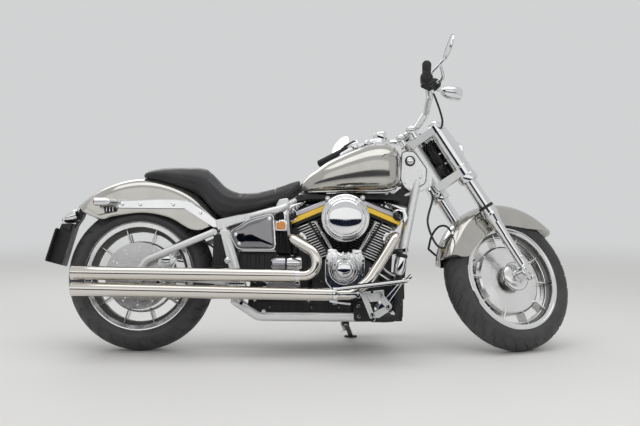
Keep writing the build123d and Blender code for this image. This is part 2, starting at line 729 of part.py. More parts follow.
with BuildPart() as brake_pedal:
    add(bent_tube([(1046, -130, bracket_z - 1), (1046, -282, bracket_z - 1)], 9))
    add(side_plate(((1034, 172), (1034, 190), (1130, 300), (1146, 314), (1153, 304), (1140, 292),
                    (1058, 176)), -282, -268))
    add(side_plate(((1149, 298), (1170, 322), (1178, 314), (1157, 290)), -320, -255))

with BuildPart() as regulator:
    back = regulator_x + 10 + seat_gap
    add(side_plate(((back, 145), (back + 44, 141), (back + 48, 255), (back, 261)), -60, 60, 4))

# ---- fork -----------------------------------------------------------------------------------------------
with BuildPart() as fork_legs:
    for side in (-1, 1):
        leg = fork_plane(0, side * leg_half_span, leg_lead)
        add(turned(((0, -40), (slider_radius, -40), (slider_radius, 180), (slider_radius + 3, 250),
                    (slider_shoulder, 290), (slider_shoulder, slider_top), (tube_radius, slider_top + 6),
                    (tube_radius, upper_clamp - seat_gap), (0, upper_clamp - seat_gap)), leg))
        with BuildSketch(wheel_plane(front_axle_at + Vector(0, side * leg_half_span - slider_radius - 6, 0))):
            Circle(30)
        extrude(amount=2 * slider_radius + 12)
        stay = fork_plane(250, side * leg_half_span, leg_lead).origin
        with BuildSketch(Plane(origin=stay, x_dir=(1, 0, 0), z_dir=(0, -side, 0))):
            Circle(11)
        extrude(amount=leg_half_span - 80 - seat_gap)
    with BuildSketch(wheel_plane(front_axle_at).offset(-200)):
        Circle(front_axle_radius + axle_clearance)
    extrude(amount=400, mode=Mode.SUBTRACT)

with BuildPart() as fork_covers:
    for side in (-1, 1):
        cover = fork_plane(0, side * leg_half_span, leg_lead)
        low, high = lower_clamp + clamp_height + seat_gap, upper_clamp - seat_gap
        add(turned(((tube_radius + seat_gap, low), (cover_radius, low), (cover_radius, high),
                    (tube_radius + seat_gap, high)), cover))
        add(turned(((tube_radius + seat_gap, lower_clamp - 34), (cover_radius, lower_clamp - 34),
                    (cover_radius + 4, lower_clamp - 28), (cover_radius + 4, lower_clamp - seat_gap),
                    (tube_radius + seat_gap, lower_clamp - seat_gap)), cover))

with BuildPart() as triple_clamps:
    with BuildSketch(fork_plane(upper_clamp)):
        with Locations((leg_lead, -leg_half_span), (leg_lead, leg_half_span)):
            Circle(40)
        with Locations((head_axis, 0)):
            Circle(36)
        make_hull()
    extrude(amount=clamp_height)
    with BuildSketch(fork_plane(lower_clamp)):
        with Locations((leg_lead, -leg_half_span), (leg_lead, leg_half_span)):
            Circle(40)
        with Locations((head_axis, 0)):
            Circle(36)
        make_hull()
        with Locations((leg_lead, -leg_half_span), (leg_lead, leg_half_span)):
            Circle(tube_radius + seat_gap, mode=Mode.SUBTRACT)
    extrude(amount=clamp_height)
    with BuildSketch(fork_plane(lower_clamp, 0, head_axis)):
        Circle(stem_radius)
    extrude(amount=upper_clamp - lower_clamp + 2)

lamp_plane = Plane(origin=(1335, 0, 895), x_dir=(0, 1, 0), z_dir=(1, 0, 0))
lamp_profile = ((0, 0), (36, 0), (56, 18), (72, 44), (78, 64), (78, 86), (73, 92), (0, 94))
with BuildPart() as headlamp:
    add(turned(lamp_profile, lamp_plane))

# height up the fork, and how far its front stands ahead of the axle
nacelle_stations = (
    (lower_clamp + clamp_height + seat_gap, 88), (605, 106), (690, 106), (upper_clamp - seat_gap, 100))
nacelle_half_width = 116.0
nacelle_corner = 30.0
with BuildPart() as nacelle:
    for height, front in nacelle_stations:
        with BuildSketch(fork_plane(height)):
            with Locations((front - nacelle_corner, -nacelle_half_width + nacelle_corner),
                           (front - nacelle_corner, nacelle_half_width - nacelle_corner)):
                Circle(nacelle_corner)
            with Locations((nacelle_corner + 6, 0)):
                Circle(nacelle_corner)
            make_hull()
    loft()
    add(turned(((0, -1), (36 + seat_gap, -1), (56 + seat_gap, 18), (72 + seat_gap, 44), (78 + seat_gap, 64),
                (78 + seat_gap, 300), (0, 300)), lamp_plane), mode=Mode.SUBTRACT)
    for side in (-1, 1):
        with BuildSketch(fork_plane(lower_clamp, side * leg_half_span, leg_lead)):
            Circle(cover_radius + seat_gap)
        extrude(amount=upper_clamp - lower_clamp, mode=Mode.SUBTRACT)

grip_start = Vector(1085, 345, 1056)
grip_end = Vector(989, 495, 1024)


def half_bar(side, radius):
    """One half of the handlebar's tube, from the clamp to the grip's end."""
    points = [(1184, 0, 974), (1192, 80, 978), (1198, 150, 1012), (1172, 230, 1050), tuple(grip_start),
              tuple(grip_end)]
    return bent_tube([(x, side * y, z) for x, y, z in points], radius, bend=30)


with BuildPart() as handlebar:
    for side in (-1, 1):
        add(half_bar(side, bar_radius))
        with BuildSketch(fork_plane(upper_clamp + clamp_height + seat_gap, side * 45, -40)):
            Circle(17)
        extrude(amount=52)

with BuildPart() as grips:
    for side in (-1, 1):
        start = grip_start + (grip_end - grip_start) * 0.2
        end = grip_end + (grip_end - grip_start) * 0.02
        add(bent_tube([(p.X, side * p.Y, p.Z) for p in (start, end)], grip_radius,
                      wall=grip_radius - bar_radius - seat_gap))

with BuildPart() as hand_controls:
    for side in (-1, 1):
        add(side_plate(((1068, 1032), (1130, 1014), (1146, 1066), (1084, 1088)),
                       side * 330 - 22, side * 330 + 22, 8))
        add(half_bar(side, bar_radius + seat_gap), mode=Mode.SUBTRACT)

mirror_centre = Vector(1109, 490, 1138)
with BuildPart() as mirrors:
    for side in (-1, 1):
        add(bent_tube([(1118, side * 334, 1078.5), (1120, side * 344, 1100), (1128, side * 400, 1112),
                       (1122, side * mirror_centre.Y, mirror_centre.Z - 6)], 5, bend=20))
        add(turned(((0, 0), (50, 0), (62, 8), (62, 12), (0, 16)),
                   Plane(origin=(mirror_centre.X, side * mirror_centre.Y, mirror_centre.Z), x_dir=(0, 0, 1),
                         z_dir=(1, side * 0.3, -0.38))))

with BuildPart() as front_signals:
    for side in (-1, 1):
        add(turned(((0, 0), (20, 8), (30, 40), (30, 88), (26, 94), (0, 94)),
                   Plane(origin=(1189, side * 300, 1046), x_dir=(0, 1, 0), z_dir=(1, 0, 0))))
        add(bent_tube([(1166.9, side * 300, 1046), (1192, side * 300, 1046)], 7))

# ---- tail -----------------------------------------------------------------------------------------------
with BuildPart() as fender_struts:
    strut_points = ((-94, 652), (210, 654), (347.4, 562), (347.4, 534), (324, 537), (200, 616), (-87, 617))
    add(side_plate(strut_points, -rear_fender_half - seat_gap - 11, -rear_fender_half - seat_gap, 6))
    add(side_plate(strut_points, rear_fender_half + seat_gap, rear_fender_half + seat_gap + 11, 6))

with BuildPart() as rear_signals:
    for side in (-1, 1):
        add(turned(((0, 0), (12, 6), (17, 30), (17, 72), (14, 77), (0, 77)),
                   Plane(origin=(-107, side * 200, 635), x_dir=(0, 1, 0), z_dir=(-1, 0, 0))))
        add(bent_tube([(-80, side * (rear_fender_half + seat_gap + 16), 635), (-120, side * 190, 635)], 7))

lamp_base = 556.0
with BuildPart() as tail_lamp:
    add(side_plate(((-352, lamp_base), (-369, 574), (-365, 600), (-334, 617), (-289, 624), (-294, 590),
                    (-303, lamp_base)), -58, 58, 5))

with BuildPart() as number_plate:
    add(side_plate(((-368.3, 533), (-365.3, 532), (-407.3, 385), (-410.3, 386)), -90, 90))

with BuildPart() as plate_holder:
    holder_top = lamp_base - seat_gap
    add(side_plate(((-365, 532), (-407, 385), (-349, 370), (-308, 520), (-298, holder_top),
                    (-356, holder_top)), -45, 45, 4))
    add(side_plate(((-306, 530), (-300, 558), (-292, 590), (-284.2, 626.8), (-256.4, 654.3), (-250, 640),
                    (-270, 585)), -20, 20))

# ---- rear brake caliper ---------------------------------------------------------------------------------
with BuildPart() as rear_caliper:
    add(side_plate(((80, 375), (140, 345), (175, 400), (110, 440)),
                   -swingarm_half_span + swingarm_radius + seat_gap, -rear_hub_right - disc_thickness - 1, 8))

with BuildPart() as front_caliper:
    add(side_plate(((1490, 400), (1540, 368), (1600, 400), (1596, 440), (1520, 470)),
                   front_hub_half + disc_thickness + 1, leg_half_span - slider_radius - seat_gap, 8))

# ---- parked pose ----------------------------------------------------------------------------------------
steered = {
    "front_tyre": front_tyre, "front_rim": front_rim, "front_disc": front_disc, "front_axle": front_axle,
    "fork_legs": fork_legs, "fork_covers": fork_covers, "triple_clamps": triple_clamps, "headlamp": headlamp,
    "nacelle": nacelle, "handlebar": handlebar, "grips": grips, "hand_controls": hand_controls,
    "mirrors": mirrors, "front_signals": front_signals, "front_fender": front_fender,
    "front_caliper": front_caliper}
carried = {
    "rear_tyre": rear_tyre, "rear_rim": rear_rim, "rear_disc": rear_disc, "rear_pulley": rear_pulley,
    "rear_axle": rear_axle, "frame": frame, "swingarm": swingarm, "rear_fender": rear_fender, "seat": seat,
    "fuel_tank": fuel_tank, "tank_console": tank_console, "crankcase": crankcase, "gearbox": gearbox,
    "cylinders": cylinders, "rocker_bands": rocker_bands, "rocker_covers": rocker_covers,
    "cam_cover": cam_cover, "pushrod_tubes": pushrod_tubes, "air_cleaner": air_cleaner,
    "exhaust_headers": exhaust_headers, "mufflers": mufflers, "primary_cover": primary_cover, "horn": horn, "oil_tank": oil_tank,
    "side_covers": side_covers, "floorboards": floorboards, "floorboard_brackets": floorboard_brackets,
    "brake_pedal": brake_pedal, "regulator": regulator, "side_stand": side_stand,
    "fender_struts": fender_struts, "rear_signals": rear_signals, "tail_lamp": tail_lamp,
    "number_plate": number_plate, "plate_holder": plate_holder, "rear_caliper": rear_caliper,
    "drive_belt": drive_belt}

parked_pieces = {name: parked_steered * piece.part for name, piece in steered.items()}
parked_pieces |= {name: parked * piece.part for name, piece in carried.items()}
boxes = [piece.bounding_box() for piece in parked_pieces.values()]
middle_x = (min(box.min.X for box in boxes) + max(box.max.X for box in boxes)) / 2
middle_y = (min(box.min.Y for box in boxes) + max(box.max.Y for box in boxes)) / 2
to_origin = Pos(-middle_x, -middle_y, 0)

os.makedirs("parts", exist_ok=True)
for name, piece in parked_pieces.items():
    placed = to_origin * piece
    placed.label = name
    export_step(placed, f"parts/{name}.step")

# where the joints are, in the parked frame
for name, placing, point, direction in (
        ("steering", parked_steered, steer_point, steer_up),
        ("front wheel", parked_steered, front_axle_at, Vector(0, 1, 0)),
        ("rear wheel", parked, rear_axle_at, Vector(0, 1, 0)),
        ("side stand", parked, stand_pivot, stand_axis),
        ("upper exhaust outlet", parked, upper_rear, Vector(-1, 0, 0)),
        ("lower exhaust outlet", parked, lower_rear, Vector(-1, 0, 0))):
    start = (to_origin * placing * Pos(point)).position
    end = (to_origin * placing * Pos(point + direction)).position
    print(name, tuple(round(value, 4) for value in start), tuple(round(value, 6) for value in end - start))
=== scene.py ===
import json
import math
import random

import bmesh
import bpy
from mathutils import Matrix, Vector


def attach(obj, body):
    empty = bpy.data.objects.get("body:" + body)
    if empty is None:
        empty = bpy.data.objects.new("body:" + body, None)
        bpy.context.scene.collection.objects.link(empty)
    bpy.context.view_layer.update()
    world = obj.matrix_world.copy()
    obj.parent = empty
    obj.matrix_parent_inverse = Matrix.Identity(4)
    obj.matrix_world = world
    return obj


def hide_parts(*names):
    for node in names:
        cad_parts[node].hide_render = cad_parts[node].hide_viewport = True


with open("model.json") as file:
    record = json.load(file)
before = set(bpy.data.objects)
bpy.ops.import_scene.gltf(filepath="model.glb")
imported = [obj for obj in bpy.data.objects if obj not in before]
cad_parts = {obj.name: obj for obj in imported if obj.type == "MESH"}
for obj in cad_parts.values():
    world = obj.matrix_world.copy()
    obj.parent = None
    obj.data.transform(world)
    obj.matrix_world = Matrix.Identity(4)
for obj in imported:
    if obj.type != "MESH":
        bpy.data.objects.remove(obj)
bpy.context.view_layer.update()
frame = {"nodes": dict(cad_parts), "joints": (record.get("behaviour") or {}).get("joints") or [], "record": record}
print("frame loaded:", len(frame["nodes"]), "nodes")

# how the machine stands: every piece is drawn on the upright bike in mm, then placed by these
stance = {"lean": 8.8, "pitch": 0.3912339, "lock": 31.0, "rake": 32.0,
          "rearAxle": (0, 0, 324), "frontAxle": (1637, 0, 321)}
joints = {joint["name"]: joint for joint in frame["joints"]}


def jointPoint(name):
    return Vector(joints[name]["pos_m"])


def turned(axis, degrees):
    return Matrix.Rotation(math.radians(degrees), 4, axis)


leaned = turned("Y", stance["pitch"]) @ turned("X", -stance["lean"]) @ Matrix.Scale(0.001, 4)
bike = Matrix.Translation(jointPoint("rear_wheel_turn") - leaned @ Vector(stance["rearAxle"])) @ leaned
steerPoint = jointPoint("steering_turn")
steerAxis = Vector(joints["steering_turn"]["axis"])
steered = Matrix.Translation(steerPoint) @ Matrix.Rotation(math.radians(stance["lock"]), 4, steerAxis) \
    @ Matrix.Translation(-steerPoint) @ bike
# fork space: x ahead of the legs' line through the axle, z up the legs
fork = steered @ Matrix.Translation(stance["frontAxle"]) @ turned("Y", -stance["rake"])
rearWheel = bike @ Matrix.Translation(stance["rearAxle"])
frontWheel = steered @ Matrix.Translation(stance["frontAxle"])


# materials
def newObject(name, mesh):
    made = bpy.data.objects.new(name, mesh)
    bpy.context.scene.collection.objects.link(made)
    return made


def node(tree, kind, **values):
    made = tree.nodes.new(kind)
    for name, value in values.items():
        setattr(made, name, value)
    return made


def noise(tree, scale, detail, stretch=None):
    made = node(tree, "ShaderNodeTexNoise")
    made.inputs["Scale"].default_value = scale
    made.inputs["Detail"].default_value = detail
    place = node(tree, "ShaderNodeTexCoord").outputs["Object"]
    if stretch:
        mapping = node(tree, "ShaderNodeMapping")
        mapping.inputs["Scale"].default_value = stretch
        tree.links.new(place, mapping.inputs["Vector"])
        place = mapping.outputs["Vector"]
    tree.links.new(place, made.inputs["Vector"])
    return made.outputs["Fac"]


def makeMaterial(name, dark, light, roughness, grain, sockets, stainScale=9.0, wearScale=25.0, stretch=None):
    material = bpy.data.materials.new(name)
    material.use_nodes = True
    tree = material.node_tree
    shader = tree.nodes["Principled BSDF"]
    for socket, value in sockets.items():
        shader.inputs[socket].default_value = value
    tint = node(tree, "ShaderNodeValToRGB")
    for element, place, colour in zip(tint.color_ramp.elements, (0.3, 0.7), (dark, light)):
        element.position = place
        element.color = (*colour, 1)
    tree.links.new(noise(tree, stainScale, 4.0, stretch), tint.inputs["Fac"])
    tree.links.new(tint.outputs["Color"], shader.inputs["Base Color"])
    gloss = node(tree, "ShaderNodeMapRange")
    for socket, value in zip(("From Min", "From Max", "To Min", "To Max"), (0.3, 0.7, *roughness)):
        gloss.inputs[socket].default_value = value
    tree.links.new(noise(tree, wearScale, 3.0, stretch), gloss.inputs["Value"])
    tree.links.new(gloss.outputs["Result"], shader.inputs["Roughness"])
    scale, strength, depth = grain
    bump = node(tree, "ShaderNodeBump")
    bump.inputs["Strength"].default_value = strength
    bump.inputs["Distance"].default_value = depth
    tree.links.new(noise(tree, scale, 2.0), bump.inputs["Height"])
    tree.links.new(bump.outputs["Normal"], shader.inputs["Normal"])
    return material


metal = {"Metallic": 1.0}
coated = {"Metallic": 0.9, "Coat Weight": 1.0, "Coat Roughness": 0.03}
# dark and light colour, roughness, grain (scale, strength, depth) and sockets, then the scales of the stain
# and of the wear and the way they stretch, where these differ
looks = {
    "chrome": ((0.78, 0.79, 0.80), (0.86, 0.86, 0.86), (0.05, 0.09), (40, 0.02, 0.0005), metal),
    "pipe_chrome": ((0.70, 0.67, 0.61), (0.80, 0.77, 0.72), (0.07, 0.13), (30, 0.02, 0.0005), metal, 4, 25.0,
                    (0.3, 1, 1)),
    "polished_wheel": ((0.84, 0.84, 0.83), (0.91, 0.91, 0.90), (0.18, 0.30), (900, 0.05, 0.0003), metal),
    "brake_steel": ((0.66, 0.66, 0.66), (0.76, 0.76, 0.75), (0.20, 0.30), (700, 0.1, 0.0003), metal),
    "silver_frame": ((0.75, 0.76, 0.765), (0.82, 0.825, 0.82), (0.28, 0.36), (120, 0.03, 0.0004),
                     {"Metallic": 0.55, "Coat Weight": 0.8, "Coat Roughness": 0.08}),
    "champagne_paint": ((0.48, 0.47, 0.435), (0.54, 0.525, 0.49), (0.11, 0.15), (900, 0.01, 0.0002), coated,
                        16, 12),
    "engine_silver": ((0.50, 0.49, 0.53), (0.62, 0.61, 0.65), (0.26, 0.38), (420, 0.25, 0.0006), metal),
    "black_fins": ((0.006, 0.006, 0.007), (0.016, 0.016, 0.017), (0.32, 0.5), (500, 0.2, 0.0005), {}),
    "yellow_paint": ((1.0, 0.63, 0.012), (0.98, 0.60, 0.03), (0.25, 0.4), (300, 0.05, 0.0003),
                     {"Coat Weight": 0.6, "Coat Roughness": 0.1}),
    "gloss_black": ((0.22, 0.22, 0.23), (0.27, 0.27, 0.28), (0.05, 0.09), (60, 0.02, 0.0004), metal),
    "black_leather": ((0.010, 0.010, 0.012), (0.020, 0.020, 0.023), (0.32, 0.46), (650, 0.35, 0.0006),
                      {"Sheen Weight": 0.15}),
    "black_rubber": ((0.010, 0.010, 0.010), (0.020, 0.020, 0.020), (0.55, 0.7), (600, 0.2, 0.0004), {}),
    "black_plastic": ((0.008, 0.008, 0.009), (0.016, 0.016, 0.017), (0.35, 0.5), (800, 0.15, 0.0003), {}),
    "tyre": ((0.036, 0.036, 0.038), (0.056, 0.056, 0.058), (0.45, 0.62), (500, 0.25, 0.0005), {}, 14),
    "red_lens": ((0.30, 0.008, 0.006), (0.40, 0.015, 0.01), (0.08, 0.16), (200, 0.1, 0.0004),
                 {"Coat Weight": 1.0}),
    # pale machined fin rims, also standing in for the highlights on them: partly painted highlight
    "finRimAndHighlight": ((0.78, 0.78, 0.78), (0.88, 0.88, 0.88), (0.35, 0.5), (200, 0.1, 0.0002), {"Metallic": 0.25}),
    # mid-grey standing in for the shaded inside of the rim's barrel: painted shade
    "windowShade": ((0.13, 0.13, 0.125), (0.19, 0.19, 0.185), (0.35, 0.5), (300, 0.1, 0.0003),
                    {"Metallic": 0.4}),
    # near-black standing in for the shade inside holes, bores and recesses: painted shade
    "darkHole": ((0.004, 0.004, 0.004), (0.010, 0.010, 0.010), (0.5, 0.7), (400, 0.1, 0.0003), {}),
    "mirrorGlass": ((0.72, 0.73, 0.74), (0.76, 0.77, 0.78), (0.02, 0.04), (60, 0.01, 0.0003), metal),
    "lensGlass": ((0.60, 0.61, 0.62), (0.72, 0.73, 0.74), (0.05, 0.10), (90, 0.05, 0.0004),
                  {"Metallic": 0.5, "Coat Weight": 1.0}),
    "amberGlass": ((0.62, 0.20, 0.01), (0.75, 0.28, 0.02), (0.08, 0.14), (300, 0.1, 0.0004),
                   {"Coat Weight": 1.0}),
    "redGlass": ((0.26, 0.006, 0.005), (0.38, 0.012, 0.01), (0.06, 0.12), (260, 0.1, 0.0004),
                 {"Coat Weight": 1.0}),
    "dialBlack": ((0.01, 0.01, 0.011), (0.02, 0.02, 0.021), (0.12, 0.2), (200, 0.02, 0.0003),
                  {"Coat Weight": 1.0}),
    "dialMarks": ((0.70, 0.70, 0.66), (0.80, 0.80, 0.76), (0.3, 0.4), (300, 0.05, 0.0003), {}),
    "plate_white": ((0.60, 0.60, 0.58), (0.70, 0.70, 0.68), (0.35, 0.45), (300, 0.05, 0.0003), {}),
}
materials = {name: makeMaterial(name, *look) for name, look in looks.items()}
for entry in frame["record"]["subparts"]:
    mesh = frame["nodes"][entry["node"]].data
    mesh.materials.clear()
    mesh.materials.append(materials[entry["material_slot"]])
frame["nodes"]["side_stand"].data.materials[0] = materials["black_plastic"]
print("materials:", len(materials))


# stage, lights and camera
studio = {"backdrop": (0.64, 0.645, 0.65), "floor": (0.83, 0.825, 0.81), "floorRadius": 40.0, "fadeFrom": 2.5,
          "fadeTo": 8.0, "ambient": 0.72,
          # cards that only reflections see: corners' x, y and z, colour
          "cards": (("darkWall", ((-9, -6.2, 0), (9, -6.2, 0), (9, -6.2, 1.7), (-9, -6.2, 1.7)),
                     (0.006, 0.008, 0.020)),
                    ("screen", ((-7, -6.2, 1.76), (7, -6.2, 1.76), (7, -5.6, 4.4), (-7, -5.6, 4.4)),
                     (1.0, 1.0, 1.0)),
                    ("darkBack", ((-9, 7.5, 0), (9, 7.5, 0), (9, 7.5, 1.2), (-9, 7.5, 1.2)),
                     (0.06, 0.06, 0.07)))}


def emitter(name, colour):
    material = bpy.data.materials.new(name)
    material.use_nodes = True
    tree = material.node_tree
    glow = node(tree, "ShaderNodeEmission")
    glow.inputs["Color"].default_value = (*colour, 1)
    tree.links.new(glow.outputs["Emission"], tree.nodes["Material Output"].inputs["Surface"])
    return material


def makeCards():
    for name, corners, colour in studio["cards"]:
        mesh = bpy.data.meshes.new(name)
        mesh.from_pydata(corners, [], [(0, 1, 2, 3)])
        mesh.materials.append(emitter(name, colour))
        card = newObject(name, mesh)
        card.visible_camera = card.visible_diffuse = card.visible_shadow = False


def makeWorld():
    world = bpy.data.worlds.new("studio")
    bpy.context.scene.world = world
    world.use_nodes = True
    tree = world.node_tree
    tree.nodes.clear()
    output = node(tree, "ShaderNodeOutputWorld")
    seen = node(tree, "ShaderNodeBackground")
    seen.inputs["Color"].default_value = (*studio["backdrop"], 1)
    light = node(tree, "ShaderNodeBackground")
    light.inputs["Strength"].default_value = studio["ambient"]
    rays = node(tree, "ShaderNodeLightPath")
    pale = rays.outputs["Is Camera Ray"]
    for kind in ("Is Glossy Ray", "Is Transmission Ray"):
        both = node(tree, "ShaderNodeMath", operation="MAXIMUM")
        tree.links.new(pale, both.inputs[0])
        tree.links.new(rays.outputs[kind], both.inputs[1])
        pale = both.outputs["Value"]
    choose = node(tree, "ShaderNodeMixShader")
    tree.links.new(pale, choose.inputs["Fac"])
    tree.links.new(light.outputs["Background"], choose.inputs[1])
    tree.links.new(seen.outputs["Background"], choose.inputs[2])
    tree.links.new(choose.outputs["Shader"], output.inputs["Surface"])


def makeFloor():
    bpy.ops.mesh.primitive_circle_add(vertices=96, radius=studio["floorRadius"], fill_type="NGON")
    floor = bpy.context.object
    floor.name = "floor"
    material = emitter("floor", studio["backdrop"])
    tree = material.node_tree
    shader = tree.nodes["Principled BSDF"]
    shader.inputs["Base Color"].default_value = (*studio["floor"], 1)
    shader.inputs["Roughness"].default_value = 0.6
    coordinates = node(tree, "ShaderNodeTexCoord")
    distance = node(tree, "ShaderNodeVectorMath", operation="LENGTH")
    tree.links.new(coordinates.outputs["Object"], distance.inputs[0])
    fade = node(tree, "ShaderNodeMapRange", interpolation_type="SMOOTHSTEP")
    fade.inputs["From Min"].default_value = studio["fadeFrom"]
    fade.inputs["From Max"].default_value = studio["fadeTo"]
    tree.links.new(distance.outputs["Value"], fade.inputs["Value"])
    mix = node(tree, "ShaderNodeMixShader")
    tree.links.new(fade.outputs["Result"], mix.inputs["Fac"])
    tree.links.new(shader.outputs["BSDF"], mix.inputs[1])
    tree.links.new(tree.nodes["Emission"].outputs["Emission"], mix.inputs[2])
    tree.links.new(mix.outputs["Shader"], tree.nodes["Material Output"].inputs["Surface"])
    floor.data.materials.append(material)


def makeLight(name, place, target, size, power, glossy):
    lamp = bpy.data.lights.new(name, "AREA")
    lamp.shape = "RECTANGLE"
    lamp.size, lamp.size_y = size
    lamp.energy = power
    made = newObject(name, lamp)
    made.visible_glossy = glossy
    made.location = place
    made.rotation_euler = (Vector(target) - Vector(place)).to_track_quat("-Z", "Y").to_euler()


# place, what it points at, size, power, whether reflections see it
lights = {"overhead": ((0, -0.3, 3.4), (0, 0, 0), (4.5, 2.2), 34, True),
          "keyRight": ((1.6, -3.8, 2.6), (0, 0, 0.5), (2.2, 1.2), 36, False),
          "backLeft": ((-1.5, 3.2, 2.6), (0, 0, 0.5), (2.4, 1.4), 16, True)}
makeWorld()
makeFloor()
makeCards()
for name, light in lights.items():
    makeLight(name, *light)
view = {"place": (0.0348, -4.4937, 0.7733), "tilt": -2.18, "lens": 55.63}
camera = newObject("camera", bpy.data.cameras.new("camera"))
camera.location = view["place"]
camera.rotation_euler = (math.radians(90 + view["tilt"]), 0, 0)
camera.data.lens = view["lens"]
bpy.context.scene.camera = camera
bpy.context.scene.view_settings.view_transform = "Standard"
print("studio ready")


# mesh tools
def aim(point, direction, across=(0, 1, 0)):
    # a place whose z runs along direction and whose y is as near as it can be to across
    z = Vector(direction).normalized()
    x = Vector(across).cross(z)
    if x.length < 0.001:
        x = Vector((1, 0, 0)).cross(z)
    x.normalize()
    y = z.cross(x)
    return Matrix(((x.x, y.x, z.x, point[0]), (x.y, y.y, z.y, point[1]), (x.z, y.z, z.z, point[2]),
        (0, 0, 0, 1)))


def sided(point, side):
    return Vector((point[0], side * point[1], point[2]))


def softly(a, b, c, d, t):
    # the soft curve from b to c
    return 0.5 * (2 * b + (c - a) * t + (2 * a - 5 * b + 4 * c - d) * t ** 2 + (3 * b - a - 3 * c + d) * t ** 3)


def smoothPath(points, steps):
    # points along a soft curve through the given ones
    points = [Vector(point) for point in points]
    if len(points) < 3 or steps < 2:
        return points
    ends = [points[0] * 2 - points[1]] + points + [points[-1] * 2 - points[-2]]
    path = []
    for a, b, c, d in zip(ends, ends[1:], ends[2:], ends[3:]):
        for step in range(steps):
            t = step / steps
            path.append(softly(a, b, c, d, t))
    return path + [points[-1]]


def circle(radius, count, height=0.0, start=0.0):
    # count points round z
    angles = [2 * math.pi * (index + start) / count for index in range(count)]
    return [Vector((radius * math.cos(angle), radius * math.sin(angle), height)) for angle in angles]


def box(left, low, right, high):
    return [(left, low), (right, low), (right, high), (left, high)]


def ringQuads(rings, count):
    # the faces between rings of count points each
    return [(ring * count + i, ring * count + (i + 1) % count, (ring + 1) * count + (i + 1) % count,
        (ring + 1) * count + i) for ring in range(rings - 1) for i in range(count)]


def rounded(outline, radius, steps=4):
    # the outline with its corners turned into arcs
    result = []
    count = len(outline)
    for index, corner in enumerate(outline):
        corner = Vector(corner)
        before = Vector(outline[index - 1]) - corner
        after = Vector(outline[(index + 1) % count]) - corner
        reach = min(radius, before.length * 0.45, after.length * 0.45)
        start = corner + before.normalized() * reach
        end = corner + after.normalized() * reach
        for step in range(steps + 1):
            t = step / steps
            result.append(tuple(start * (1 - t) ** 2 + corner * 2 * t * (1 - t) + end * t ** 2))
    return result


out = (0, 1, 0)                                        # outward on the left; a row's side turns it round


